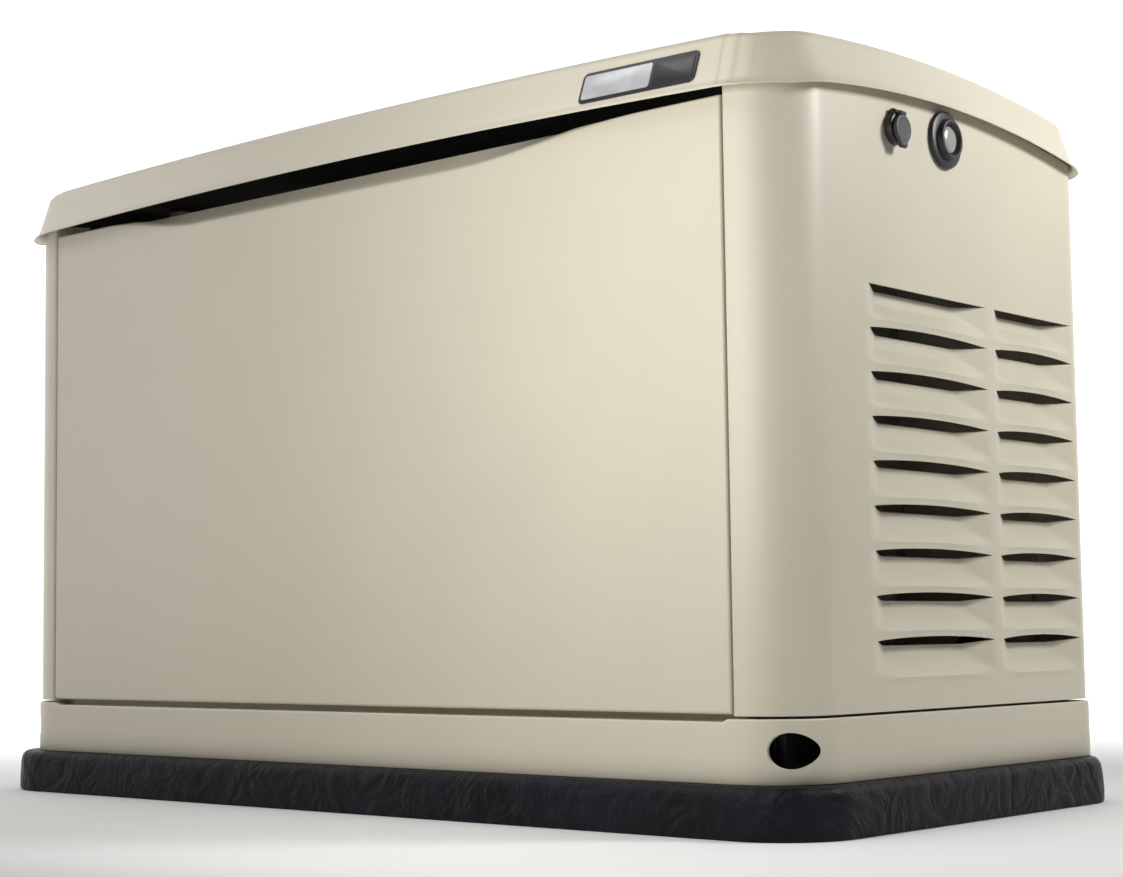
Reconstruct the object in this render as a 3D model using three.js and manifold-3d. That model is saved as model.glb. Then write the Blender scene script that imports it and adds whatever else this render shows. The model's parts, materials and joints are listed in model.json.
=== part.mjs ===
// Home standby generator: a steel weather housing on a composite pad, with an air-cooled V-twin engine,
// an alternator, a muffler, a battery and a control box inside.
// Millimetres, +Z up. The origin is the centre of the pad's underside. The door faces -Y, and +X is on the
// right of someone who faces the door.
import * as THREE from "three";
import { mergeVertices } from "three/addons/utils/BufferGeometryUtils.js";
import Module from "manifold-3d";

const wasm = await Module();
wasm.setup();

// ---------------------------------------------------------------- driving dimensions
const TOUCH = 0.4; // gap left between two pieces that touch
const RUN = 1; // gap round a piece that turns or slides
const ARC_STEPS = 6; // steps in a quarter circle
const ROUND_SIDES = 20; // sides of a small cylinder
const DRUM_SIDES = 28; // sides of a large cylinder
const CUT = 20; // how far a cutter runs past what it cuts

const pad = { overEnds: 22, overFront: 20, height: 50, corner: 84, edge: 8 };
const body = { length: 1190, depth: 610, corner: 70, rearCorner: 38, wall: 3, bottom: 114,
  aboveLip: 8 };
const base = { grow: 3, gap: 2.6, wall: 3, ledge: 26, rim: 5, drop: 3, upturn: 14, liftHole: 17,
  liftInset: 22, liftHeight: 32 };
const door = { half: 523, gap: 2, depth: 20, wall: 2.6, rise: 1.5, top: 709 };
const scoop = { flat: [-250, 170], end: [-420, 430], drop: 20, stations: 18, backing: 4 };
const lid = {
  overhang: 14, corner: 80, rearCorner: 60, wall: 3, archX: 570, archY: 285,
  lipCorner: 711, lipArch: 22, lipFrontShare: 0.5, topCorner: 771, topArch: 17, topFrontShare: 0.6,
};
const louvre = { rows: 9, pitch: 44, top: 534, slot: 4.5, depth: 12, taper: 46, foot: 7, wall: 2.4 };
const sideColumns = [[-160, 73], [91, 267]]; // front and rear edge of each column of side louvres
const rearLouvres = { rows: 6, columns: [[-470, -300], [-270, -100]], top: 560 };
const lock = {
  fromFront: 197, z: 696, shank: 13.5, flange: 16.5, proud: 8.5, plug: 8, cam: 50, camWidth: 12,
};
const light = { fromFront: 298, z: 701, flange: 29.5, step: 21, lens: 14, hole: 20.5 };
const badge = { x: 428, length: 148, height: 33, thick: 2.4, slant: 3.5, middle: 0.52 };
const hinge = { x: 380, out: 8, z: 703, pin: 2.6, knuckle: 5.5, half: 34, middle: 12 };
const crank = { y: 0, z: 255, shaft: 20 }; // axis of the crankshaft and the rotor, along X
const engine = { left: -250, right: -70, deck: 95, barrel: 120, head: 47, cover: 28, width: 112,
  lean: Math.PI / 4 };
const alternator = { left: -68, core: 60, coreEnd: 240, right: 255, radius: 138, bore: 100, rotor: 96 };
const blower = { left: -345, right: -262, radius: 150, inlet: 100, wall: 3 };
const muffler = { x: -490, z: 270, radius: 68, half: 190 };
const divider = { left: -402, right: 362, wall: 3, top: 690 };
const controls = {
  left: 372, sideGap: 4, frontGap: 43, deep: 112, bottom: 430, top: 690, slopeRun: 77, slopeFoot: 608,
};
const breaker = { x: 430, z: 520 };
const keyCap = { half: [13, 7], travel: 1.5, y: -26, high: 4.5 };
const keys = { auto: -48, off: -14, manual: 20 }; // each key's place along the control fascia
const mount = { radius: 24, top: 89 }; // rubber mounts under the engine and the alternator
const filter = { x: -105, z: 185 };
const dipstick = { x: -84, y: -82, mouth: 500, tube: 9, stem: 3.5, length: 196 };
const starter = { left: -258, right: -150, y: -164, z: 186, radius: 32 };
const airBox = { x: [-250, -30], y: [-54, 150], floor: 507, split: 572, top: 628 };
const cylinderX = { front: -165, rear: -153 };
const conduit = { x: 440, z: 170, radius: 17 };
// How far the lid's skirt leans in, and the share of its height it takes.
const skirt = { slope: 18, share: 0.78 };
const battery = { x: 468, frontGap: 44, length: 174, depth: 206, height: 196 };
const regulator = { x: 60, z: 440, radius: 56, front: 165, back: 205, pipe: 13, out: 21 };

const panelX = body.length / 2;
const panelY = body.depth / 2;
const baseX = panelX + base.grow;
const baseY = panelY + base.grow;
const padX = baseX + pad.overEnds;
const padY = baseY + pad.overFront;
const hingeY = panelY + hinge.out;
const lockY = -panelY + lock.fromFront;
const lightY = -panelY + light.fromFront;
const lipX = panelX + lid.overhang;
const lipY = panelY + lid.overhang;
const baseFloor = pad.height + TOUCH; // underside of the base pan
const floorTop = baseFloor + base.wall;
const baseTop = body.bottom - base.gap;
const doorBottom = body.bottom + door.rise;
const liftX = baseX - base.liftInset;
const liftZ = pad.height + base.liftHeight;
const dividerRear = baseY - base.ledge - 1;
const controlsRight = panelX - louvre.depth - louvre.wall - controls.sideGap;
const skirtLean = Math.atan2(skirt.slope, (lid.topCorner - lid.lipCorner) * skirt.share);
const striker = {
  x: panelX - 24, span: [lockY + 28, lockY + 62], tab: 24, sheet: 3, top: 6.5,
  foot: lock.z - lock.camWidth / 2 - 6,
};
const solenoid = { y: starter.y - 2, z: starter.z + starter.radius + 16, radius: 15 };
const batteryFront = -panelY + battery.frontGap;
const batteryRear = batteryFront + battery.depth;
const terminal = { dx: 60, y: batteryFront + 33 };
const postTop = floorTop + TOUCH + battery.height + 10;
const controlsFront = -panelY + controls.frontGap;
const faceMiddle = {
  x: (controls.left + controlsRight) / 2 - 2,
  y: controlsFront + controls.slopeRun / 2,
  z: (controls.slopeFoot + controls.top) / 2,
};
const slope = Math.atan2(controls.top - controls.slopeFoot, controls.slopeRun);
// Where each battery cable goes through the sheet between the alternator and the battery.
const cableGates = { positive: { y: -panelY + 73, z: postTop + 6 }, negative: { y: 20, z: 78 } };

// ---------------------------------------------------------------- materials
const paint = (color, roughness, metalness) =>
  new THREE.MeshStandardMaterial({ color, roughness, metalness });
const tan = paint(0xd3ccb8, 0.5, 0.1);
const composite = paint(0x35323a, 0.7, 0);
const blackPlastic = paint(0x1b1b1d, 0.5, 0);
const greyPlastic = paint(0x6b6d6f, 0.55, 0);
const castMetal = paint(0x9a9c9e, 0.5, 0.8);
const darkSteel = paint(0x3a3b3d, 0.45, 0.7);
const zinc = paint(0xb9bcc0, 0.35, 0.9);
const hotSteel = paint(0x8b857c, 0.5, 0.8);
const rubber = paint(0x151515, 0.8, 0);
const lens = paint(0xbfc2bd, 0.3, 0);
const red = paint(0xa3231d, 0.5, 0);
const yellow = paint(0xd8b21f, 0.5, 0);

// ---------------------------------------------------------------- solids
// A closed geometry as a manifold-3d solid.
function solid(geometry) {
  const plain = geometry.index ? geometry.toNonIndexed() : geometry.clone();
  plain.deleteAttribute("normal");
  plain.deleteAttribute("uv");
  const merged = mergeVertices(plain, 1e-4);
  return new wasm.Manifold(
    new wasm.Mesh({
      numProp: 3,
      vertProperties: merged.attributes.position.array,
      triVerts: new Uint32Array(merged.index.array),
    }),
  );
}

const union = (...solids) => solids.reduce((whole, piece) => whole.add(piece));
const cut = (whole, ...cutters) => cutters.reduce((left, cutter) => left.subtract(cutter), whole);

function block([x0, x1], [y0, y1], [z0, z1]) {
  const geometry = new THREE.BoxGeometry(x1 - x0, y1 - y0, z1 - z0);
  return solid(geometry.translate((x0 + x1) / 2, (y0 + y1) / 2, (z0 + z1) / 2));
}

// A round bar from one end to the other along X, Y or Z, through the point the other two coordinates give.
function bar(axis, radius, [from, to], [a, b], sides = ROUND_SIDES) {
  const geometry = new THREE.CylinderGeometry(radius, radius, to - from, sides);
  geometry.translate(0, (from + to) / 2, 0);
  if (axis === "x") geometry.rotateZ(-Math.PI / 2).translate(0, a, b);
  if (axis === "y") geometry.translate(a, 0, b);
  if (axis === "z") geometry.rotateX(Math.PI / 2).translate(a, b, 0);
  return solid(geometry);
}

// A closed outline of [along, radius] points turned about an axis along X, or along Y.
function turned(axis, outline, [a, b], sides = DRUM_SIDES) {
  const points = outline.map(([along, radius]) => new THREE.Vector2(radius, along));
  const onAxis = outline[0][1] === 0;
  if (!onAxis) points.push(points[0].clone());
  const geometry = new THREE.LatheGeometry(points, sides);
  if (axis === "x") geometry.rotateZ(-Math.PI / 2).translate(0, a, b);
  if (axis === "y") geometry.translate(a, 0, b);
  const made = solid(geometry);
  return made.volume() > 0 ? made : solid(flipped(geometry));
}

function flipped(geometry) {
  const plain = geometry.index ? geometry.toNonIndexed() : geometry.clone();
  const position = plain.attributes.position;
  for (let i = 0; i < position.count; i += 3) {
    const a = new THREE.Vector3().fromBufferAttribute(position, i);
    const b = new THREE.Vector3().fromBufferAttribute(position, i + 1);
    position.setXYZ(i, b.x, b.y, b.z);
    position.setXYZ(i + 1, a.x, a.y, a.z);
  }
  return plain;
}

// Corner points of a rectangle with round corners, front corners of one radius and rear ones of another.
function roundedOutline(halfX, halfY, frontRadius, rearRadius, steps = ARC_STEPS, along = 1) {
  const points = [];
  const corners = [
    [halfX, -halfY, frontRadius, -Math.PI / 2], [halfX, halfY, rearRadius, 0],
    [-halfX, halfY, rearRadius, Math.PI / 2], [-halfX, -halfY, frontRadius, Math.PI],
  ];
  corners.forEach(([x, y, r, start], i) => {
    const centre = [x - Math.sign(x) * r, y - Math.sign(y) * r];
    for (let k = 0; k <= steps; k++) {
      const angle = start + ((Math.PI / 2) * k) / steps;
      points.push([centre[0] + r * Math.cos(angle), centre[1] + r * Math.sin(angle)]);
    }
    const [nx, ny, nr, nstart] = corners[(i + 1) % 4];
    const next = [nx - Math.sign(nx) * nr + nr * Math.cos(nstart),
      ny - Math.sign(ny) * nr + nr * Math.sin(nstart)];
    const last = points[points.length - 1];
    for (let k = 1; k < along; k++) {
      points.push([last[0] + ((next[0] - last[0]) * k) / along,
        last[1] + ((next[1] - last[1]) * k) / along]);
    }
  });
  return points;
}

// A flat outline of [x, y] points pushed up from z0 to z1.
function prism(outline, [z0, z1]) {
  const shape = new THREE.Shape(outline.map(([x, y]) => new THREE.Vector2(x, y)));
  return solid(new THREE.ExtrudeGeometry(shape, { depth: z1 - z0, bevelEnabled: false }).translate(0,
    0, z0));
}

// A flat outline of [y, z] points pushed along X from x0 to x1.
function prismX(outline, [x0, x1]) {
  const shape = new THREE.Shape(outline.map(([y, z]) => new THREE.Vector2(y, z)));
  const geometry = new THREE.ExtrudeGeometry(shape, { depth: x1 - x0, bevelEnabled: false });
  const place = new THREE.Matrix4().set(0, 0, 1, x0, 1, 0, 0, 0, 0, 1, 0, 0, 0, 0, 0, 1);
  return solid(geometry.applyMatrix4(place));
}

// Rings of equal length joined in order, with both ends closed by a fan.
function loft(rings) {
  const count = rings[0].length;
  const vertices = rings.flat();
  const faces = [];
  for (let r = 0; r + 1 < rings.length; r++) {
    for (let k = 0; k < count; k++) {
      const [a, b] = [r * count + k, r * count + ((k + 1) % count)];
      faces.push(a, b, b + count, a, b + count, a + count);
    }
  }
  [0, rings.length - 1].forEach((r) => {
    const centre = new THREE.Vector3();
    rings[r].forEach((p) => centre.add(new THREE.Vector3(...p)));
    centre.divideScalar(count);
    vertices.push(centre.toArray());
    const tip = vertices.length - 1;
    for (let k = 0; k < count; k++) {
      const [a, b] = [r * count + k, r * count + ((k + 1) % count)];
      if (r === 0) faces.push(tip, b, a);
      else faces.push(tip, a, b);
    }
  });
  const geometry = new THREE.BufferGeometry();
  geometry.setAttribute("position", new THREE.Float32BufferAttribute(vertices.flat(), 3));
  geometry.setIndex(faces);
  const made = solid(geometry);
  return made.volume() > 0 ? made : solid(flipped(geometry));
}

// A round hose or pipe that follows points.
function pipe(radius, points, { sides = 10, steps = 24, tension = 0.5 } = {}) {
  const path = new THREE.CatmullRomCurve3(points.map((p) => new THREE.Vector3(...p)), false,
    "catmullrom", tension);
  const section = new THREE.Shape();
  for (let k = 0; k < sides; k++) {
    const angle = (2 * Math.PI * k) / sides;
    const [x, y] = [radius * Math.cos(angle), radius * Math.sin(angle)];
    if (k === 0) section.moveTo(x, y);
    else section.lineTo(x, y);
  }
  return solid(new THREE.ExtrudeGeometry(section, { steps, bevelEnabled: false, extrudePath: path }));
}

const mirrored = (piece) => piece.mirror([1, 0, 0]);

const generator = new THREE.Group();

function place(name, piece, material) {
  const mesh = piece.getMesh();
  const geometry = new THREE.BufferGeometry();
  const positions = new Float32Array(mesh.numVert * 3);
  for (let i = 0; i < mesh.numVert; i++) {
    positions.set(mesh.vertProperties.subarray(i * mesh.numProp, i * mesh.numProp + 3), i * 3);
  }
  geometry.setAttribute("position", new THREE.BufferAttribute(positions, 3));
  geometry.setIndex(new THREE.BufferAttribute(mesh.triVerts, 1));
  geometry.computeVertexNormals();
  const made = new THREE.Mesh(geometry, material.clone());
  made.name = name;
  generator.add(made);
}

// ---------------------------------------------------------------- lid shape
// Share of the arch that a point of the lid has: 0 at the corners and 1 over the middle.
function archShare(x, y, frontShare) {
  const alongFront = frontShare * Math.max(0, 1 - (x / lid.archX) ** 2);
  const alongSide = Math.max(0, 1 - (y / lid.archY) ** 2);
  return 1 - (1 - alongFront) * (1 - alongSide);
}

const lipHeight = (x, y) => lid.lipCorner + lid.lipArch * archShare(x, y, lid.lipFrontShare);
const topHeight = (x, y) => lid.topCorner + lid.topArch * archShare(x, y, lid.topFrontShare);

// Height of the lid's skin where it is inset from the lip, at a share of the way from lip to top.
function lidRing(inset, share, lower = 0) {
  const outline = roundedOutline(
    lipX - inset, lipY - inset, Math.max(8, lid.corner - inset), Math.max(8, lid.rearCorner - inset),
      5, 6,
  );
  return outline.map(([x, y]) => {
    const low = lipHeight(x, y);
    return [x, y, low + (topHeight(x, y) - low) * share - lower];
  });
}

const lidProfile = [[0, 0], [skirt.slope, skirt.share], [skirt.slope + 5, 0.92],
  [skirt.slope + 16, 0.985], [60, 1]];

// ---------------------------------------------------------------- housing
// A wall that follows the housing's rounded rectangle, kept where x is on one side.
function sidePanel() {
  const outer = roundedOutline(panelX, panelY, body.corner, body.rearCorner);
  const inner = roundedOutline(
    panelX - body.wall, panelY - body.wall, body.corner - body.wall, body.rearCorner - body.wall,
  );
  const high = lid.topCorner;
  const ring = cut(prism(outer, [body.bottom, high]), prism(inner, [body.bottom - CUT, high + CUT]));
  const seam = door.half + door.gap;
  const kept = ring.intersect(block([seam, lipX], [-lipY, lipY], [0, high]));
  return cut(kept, aboveLip(), lockHole(), louvreCutters(panelX, sideColumns, louvre.rows,
    louvre.top)).add(
    louvreScoops(panelX, sideColumns, louvre.rows, louvre.top),
  );
}

// Everything above the height where the walls stop, just over the lip of the lid.
function aboveLip() {
  const steps = 12;
  const outline = [[-lipY, lid.topCorner + 60]];
  for (let k = 0; k <= steps; k++) {
    const y = -lipY + (2 * lipY * k) / steps;
    outline.push([y, lipHeight(panelX, y) + body.aboveLip]);
  }
  outline.push([lipY, lid.topCorner + 60]);
  return prismX(outline, [-lipX, lipX]);
}

const lockHole = () => bar("x", lock.shank + TOUCH, [panelX - CUT, panelX + CUT], [lockY, lock.z]);

// One louvre is a wedge pressed into the wall: deepest along its open top slot, and level with the wall
// at its foot.
function louvreWedge(face, [y0, y1], top, depth, grow, z0) {
  const near = [face + CUT, y0 - grow, top];
  const far = [face + CUT, y1 + grow, top];
  const inner = face - depth;
  const points = [
    near, far, [face + CUT, y1 + grow, z0], [face + CUT, y0 - grow, z0],
    [face, y0 - grow, top], [face, y1 + grow, top], [face, y1 + grow, z0], [face, y0 - grow, z0],
    [inner, y0 + louvre.taper, top], [inner, y1 - louvre.taper, top],
  ];
  return wasm.Manifold.hull(points);
}

function eachLouvre(columns, rows, top, make) {
  const made = columns.flatMap((column) =>
    Array.from({ length: rows }, (_, row) => make(column, top - row * louvre.pitch)),
  );
  return union(...made);
}

function louvreCutters(face, columns, rows, top) {
  return eachLouvre(columns, rows, top, (column, z) => {
    const mouth = z - louvre.slot;
    const slot = block([face - body.wall - 1, face + CUT], column, [mouth - 0.01, z]);
    return union(slot, louvreWedge(face, column, mouth, louvre.depth, 0,
      z - louvre.pitch + louvre.foot));
  });
}

// The metal behind each wedge, with the wedge itself taken out.
function louvreScoops(face, columns, rows, top) {
  return eachLouvre(columns, rows, top, (column, z) => {
    const mouth = z - louvre.slot;
    const foot = z - louvre.pitch + louvre.foot;
    const shell = louvreWedge(face, column, mouth, louvre.depth + louvre.wall, louvre.wall,
      foot - louvre.wall);
    const inside = block([face - 60, face - body.wall + 0.5], [column[0] - 9, column[1] + 9],
      [0, z + 9]);
    return cut(shell.intersect(inside), louvreWedge(face, column, mouth + 1e-3, louvre.depth, 0, foot));
  });
}

function lightHole() {
  return bar("x", light.hole, [panelX - CUT, panelX + CUT], [lightY, light.z]);
}

function rearPanel() {
  const half = door.half;
  const flange = 12;
  const plate = union(
    block([-half, half], [panelY - body.wall, panelY], [body.bottom, lid.lipCorner + body.aboveLip]),
    block([-half, half], [panelY - flange, panelY], [body.bottom, body.bottom + body.wall]),
    block([-half, half], [panelY - flange, panelY],
      [lid.lipCorner + body.aboveLip - body.wall, lid.lipCorner + body.aboveLip]),
  );
  const notches = [-1, 1].map((side) => {
    const x = side * hinge.x;
    return block([x - hinge.half - 4, x + hinge.half + 4], [panelY - CUT, panelY + CUT],
      [hinge.z - 7, lid.topCorner]);
  });
  const turn = (piece) => piece.rotate([0, 0, 90]);
  const { columns, rows, top } = rearLouvres;
  // Turned a quarter about Z, the side wall's +X face becomes the rear wall's +Y face and its Y becomes -X.
  const swung = columns.map(([a, b]) => [-b, -a]);
  const opened = cut(
    plate, ...notches, turn(louvreCutters(panelY, swung, rows, top)),
    bar("y", regulator.pipe + 3, [panelY - CUT, panelY + CUT], [regulator.x, regulator.z]),
    bar("y", conduit.radius, [panelY - CUT, panelY + CUT], [conduit.x, conduit.z]),
  );
  return union(opened, turn(louvreScoops(panelY, swung, rows, top)));
}

function basePan() {
  const outer = roundedOutline(baseX, baseY, body.corner + base.grow, body.rearCorner + base.grow);
  const shrink = (by) =>
    roundedOutline(baseX - by, baseY - by, body.corner + base.grow - by,
      body.rearCorner + base.grow - by);
  const blank = union(
    prism(outer, [baseFloor, baseTop]),
    prism(shrink(base.ledge - base.wall), [baseFloor + 1, baseTop + base.upturn]),
  );
  const tray = cut(
    blank,
    prism(shrink(base.wall), [floorTop, baseTop - base.rim]),
    prism(shrink(base.ledge), [floorTop, baseTop + CUT * 2]),
  );
  const lowered = block(
    [-door.half, door.half], [-baseY - CUT, -baseY + base.wall + 3],
      [baseTop - base.drop, baseTop + CUT],
  );
  const holes = [-liftX, liftX].map((x) => bar("y", base.liftHole, [-baseY - CUT, baseY + CUT],
    [x, liftZ]));
  return cut(tray, ...holes, lowered);
}

function mountingPad() {
  const ring = (inset, z) =>
    roundedOutline(padX - inset, padY - inset, pad.corner - inset,
      pad.corner - inset)
      .map(([x, y]) => [x, y, z]);
  const { height, edge } = pad;
  return loft([ring(0, 0), ring(2, height - edge), ring(2 + edge * 0.3, height - edge * 0.3),
    ring(2 + edge, height)]);
}

// ---------------------------------------------------------------- front door
function scoopDrop(x) {
  const [flat, end] = x < 0 ? [scoop.flat[0], scoop.end[0]] : [scoop.flat[1], scoop.end[1]];
  const past = Math.min(1, Math.max(0, (x - flat) / (end - flat)));
  return scoop.drop * (0.5 + 0.5 * Math.cos(Math.PI * past));
}

// Sections of [y, z] points at stations across the door, joined into one body.
function alongScoop(section) {
  const rings = [];
  for (let k = 0; k <= scoop.stations; k++) {
    const x = scoop.end[0] + ((scoop.end[1] - scoop.end[0]) * k) / scoop.stations;
    rings.push(section(scoopDrop(x)).map(([y, z]) => [x, y, z]));
  }
  return loft(rings);
}

function frontDoor() {
  const face = -panelY;
  const back = face + door.depth;
  const pan = cut(
    block([-door.half, door.half], [face, back], [doorBottom, door.top]),
    block(
      [-door.half + door.wall, door.half - door.wall], [face + door.wall, back + CUT],
      [doorBottom + door.wall, door.top - door.wall],
    ),
  );
  const backing = alongScoop((drop) => [
    [face + 1, door.top - drop - scoop.backing], [back - 0.1, door.top - scoop.backing],
    [back - 0.1, door.top - 0.1], [face + 1, door.top - 0.1],
  ]);
  const hollow = alongScoop((drop) => [
    [face - 2, door.top - drop - 0.5], [back - 2, door.top + 1], [back - 2, door.top + 4],
      [face - 2, door.top + 4],
  ]);
  return cut(union(pan, backing), hollow);
}

// ---------------------------------------------------------------- lid
function roofShell() {
  const outer = lidProfile.map(([inset, share]) => lidRing(inset, share));
  const inner = lidProfile.map(([inset, share]) => lidRing(inset + lid.wall, share,
    share === 0 ? 0 : lid.wall * 0.8));
  const crown = [170, lipY - 10];
  return loft([
    ...crown.slice().reverse().map((inset) => lidRing(inset, 1, lid.wall)),
    ...inner.slice().reverse(),
    ...outer,
    ...crown.map((inset) => lidRing(inset, 1)),
  ]);
}

// The bracket that a lock's cam turns over, screwed to the lid's underside by its top tab.
function lidStriker() {
  const { x, span, tab, sheet, foot, top } = striker;
  const [y0, y1] = span;
  const high = topHeight(x, y0) - top;
  return union(
    block([x - sheet, x], [y0, y1], [foot, high]),
    block([x - tab, x], [y0, y1], [foot, foot + sheet]),
    block([x - tab, x], [y0, y1], [high - sheet, high]),
  );
}

function badgePlate() {
  const { x, length, height, thick, slant, middle } = badge;
  const z = lipHeight(x, -lipY) + (topHeight(x, -lipY) - lipHeight(x, -lipY)) * skirt.share * middle;
  const y = -lipY + skirt.slope * middle;
  const [right, top] = [length / 2, height / 2];
  const outline = [[-right, -top], [right - slant, -top], [right, top], [-right + slant, top]];
  const shape = new THREE.Shape(outline.map(([a, b]) => new THREE.Vector2(a, b)));
  const geometry = new THREE.ExtrudeGeometry(shape, { depth: thick, bevelEnabled: false });
  geometry.translate(0, 0, 1).rotateX(Math.PI / 2 - skirtLean).rotateY(0.03).translate(x, y, z);
  return solid(geometry);
}

// ---------------------------------------------------------------- hinges
function hingeBase(x) {
  const { z, pin, knuckle, half, middle } = hinge;
  const y = hingeY;
  const plateY = panelY + TOUCH;
  return union(
    block([x - half, x + half], [plateY, plateY + 2.4], [z - 52, z - 8]),
    block([x - middle, x + middle], [plateY, y], [z - 12, z]),
    bar("x", knuckle, [x - middle, x + middle], [y, z], 16),
    bar("x", pin, [x - half - 1, x + half + 1], [y, z], 12),
  );
}

function hingeLeaf(x) {
  const { z, pin, knuckle, half, middle } = hinge;
  const y = hingeY;
  const [thick, rise, reach] = [1.2, 12, 24];
  const tip = [y - reach * Math.sin(skirtLean), z + rise + reach * Math.cos(skirtLean)];
  const leaf = prismX([
    [y - thick, z], [y + thick, z], [y + thick, z + rise], [tip[0] + thick, tip[1]],
      [tip[0] - thick, tip[1]],
    [y - thick, z + rise],
  ], [x - half, x + half]);
  return cut(
    union(leaf, bar("x", knuckle, [x - half, x + half], [y, z], 16)),
    bar("x", knuckle + 2.5, [x - middle - 0.6, x + middle + 0.6], [y, z], 16),
    bar("x", pin + 0.6, [x - half - CUT, x + half + CUT], [y, z], 12),
  );
}

// ---------------------------------------------------------------- locks and status light
function lockBody() {
  const { z, shank, flange, proud, plug } = lock;
  const y = lockY;
  return cut(
    union(
      bar("x", shank, [panelX - 22, panelX + 2], [y, z]),
      bar("x", flange, [panelX + TOUCH, panelX + proud], [y, z]),
      block([panelX + TOUCH, panelX + proud], [y - 7, y + 7], [z, z + flange + 3]),
    ),
    bar("x", plug + RUN / 2, [panelX - CUT * 2, panelX + CUT * 2], [y, z]),
  );
}

function lockPlug() {
  const { z, plug, cam, camWidth, proud } = lock;
  const y = lockY;
  const inside = panelX - 32;
  return union(
    bar("x", plug, [inside, panelX + proud - 2], [y, z]),
    block([inside - 4, inside + 0.1], [y - camWidth / 2, y + camWidth / 2], [z - 8, z + cam - 8]),
  );
}

function lockCover() {
  const { z, flange, proud } = lock;
  const y = lockY;
  const face = panelX + proud + RUN;
  return union(
    bar("x", flange, [face, face + 4], [y, z]),
    block([face, face + 4], [y - 6, y + 6], [z, z + flange]),
    block([face, face + 5], [y - 8, y + 8], [z - flange - 4, z - flange + 6]),
  );
}

function lightBezel() {
  const { z, flange, step, lens: glass, hole } = light;
  const y = lightY;
  const outline = [
    [panelX - 16, glass + TOUCH], [panelX - 16, hole - TOUCH], [panelX + TOUCH, hole - TOUCH],
    [panelX + TOUCH, flange], [panelX + 3, flange], [panelX + 5, flange - 4], [panelX + 5, step],
    [panelX + 10, step], [panelX + 12, step - 2], [panelX + 12, glass + TOUCH],
  ];
  return turned("x", outline, [y, z]);
}

const lightLens = () => bar("x", light.lens, [panelX - 14, panelX + 10.5], [lightY, light.z]);

// ---------------------------------------------------------------- engine
const leaned = (piece, side) => {
  const turn = (engine.lean * 180) / Math.PI;
  return piece.translate([0, -crank.y, -crank.z]).rotate([side * turn, 0, 0]).translate([0, crank.y,
    crank.z]);
};

function crankcase() {
  const { left, right, deck } = engine;
  const [h, d] = [deck * Math.SQRT2, 64 / Math.SQRT2];
  const face = [h / 2 + d, h / 2 - d];
  const z = crank.z;
  const outline = [
    [-95, 135], [95, 135], [118, 200], [face[0], z + face[1]], [face[1], z + face[0]],
    [-face[1], z + face[0]], [-face[0], z + face[1]], [-118, 200],
  ];
  const tube = { x: dipstick.x, y: dipstick.y };
  const block1 = union(
    prismX(outline, [left, right]),
    block([left + 6, right - 6], [-85, 85], [100, 136]),
    block([left - 14, right + 14], [-130, 130], [mount.top + TOUCH, 101]),
    bar("y", 30, [-128, -90], [filter.x, filter.z]),
    bar("z", dipstick.tube, [290, dipstick.mouth], [tube.x, tube.y], 16),
  );
  return cut(
    block1,
    bar("x", crank.shaft + RUN, [left - CUT, right + CUT], [crank.y, crank.z]),
    bar("z", dipstick.stem + RUN, [dipstick.mouth - dipstick.length - 4, dipstick.mouth + CUT],
      [tube.x, tube.y], 12),
  );
}

const rubberMount = (x, y) =>
  turnedZ([[floorTop + TOUCH, 0], [floorTop + TOUCH, mount.radius], [64, mount.radius],
    [72, mount.radius - 6],
    [80, mount.radius], [mount.top, mount.radius], [mount.top, 0]], [x, y]);

function turnedZ(outline, [x, y]) {
  const points = outline.map(([along, radius]) => new THREE.Vector2(radius, along));
  const geometry = new THREE.LatheGeometry(points, 20).rotateX(Math.PI / 2).translate(x, y, 0);
  const made = solid(geometry);
  return made.volume() > 0 ? made : solid(flipped(geometry));
}

// A finned barrel with its head, built upright over the crankshaft and then leaned over.
function cylinder(side, x) {
  const { deck, barrel, head, width } = engine;
  const foot = crank.z + deck + TOUCH;
  const top = foot + barrel;
  const fin = { count: 7, thick: 5, pitch: 15.5 };
  const fins = Array.from({ length: fin.count }, (_, k) => {
    const z = foot + 9 + k * fin.pitch;
    return block([x - width / 2, x + width / 2], [-width / 2, width / 2], [z, z + fin.thick]);
  });
  const grooves = Array.from({ length: 3 }, (_, k) => [-1, 1].map((s) => {
    const z = top + 9 + k * 11;
    const edge = s * 57.5;
    return block([x - 90, x + 90], [Math.min(edge, edge - s * 14), Math.max(edge, edge - s * 14)],
      [z, z + 6]);
  })).flat();
  const headBlock = cut(block([x - 62, x + 62], [-57, 57], [top - 0.1, top + head]), ...grooves);
  const port = bar("x", 22, [x - 70, x - 55], [0, top + 24], 16);
  return leaned(union(bar("z", 44, [foot, top], [x, 0], 16), ...fins, headBlock, port), side);
}

function valveCover(side, x) {
  const { deck, barrel, head, cover } = engine;
  const foot = crank.z + deck + barrel + head + 2 * TOUCH;
  const outline = (by) => roundedOutline(60 - by, 50 - by, 18, 18, 3);
  const rings = [[0, 0], [0, cover - 8], [4, cover - 2], [9, cover]];
  return leaned(loft(rings.map(([by, up]) => outline(by).map(([a, b]) => [x + a, b, foot + up]))),
    side);
}

function blowerHousing() {
  const { left, right, radius, inlet, wall } = blower;
  return turned("x", [[left, inlet], [left, radius - 8], [left + 8, radius], [right, radius],
    [right, radius - wall],
    [left + 9, radius - wall], [left + wall, radius - 9], [left + wall, inlet]], [crank.y, crank.z]);
}

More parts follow.
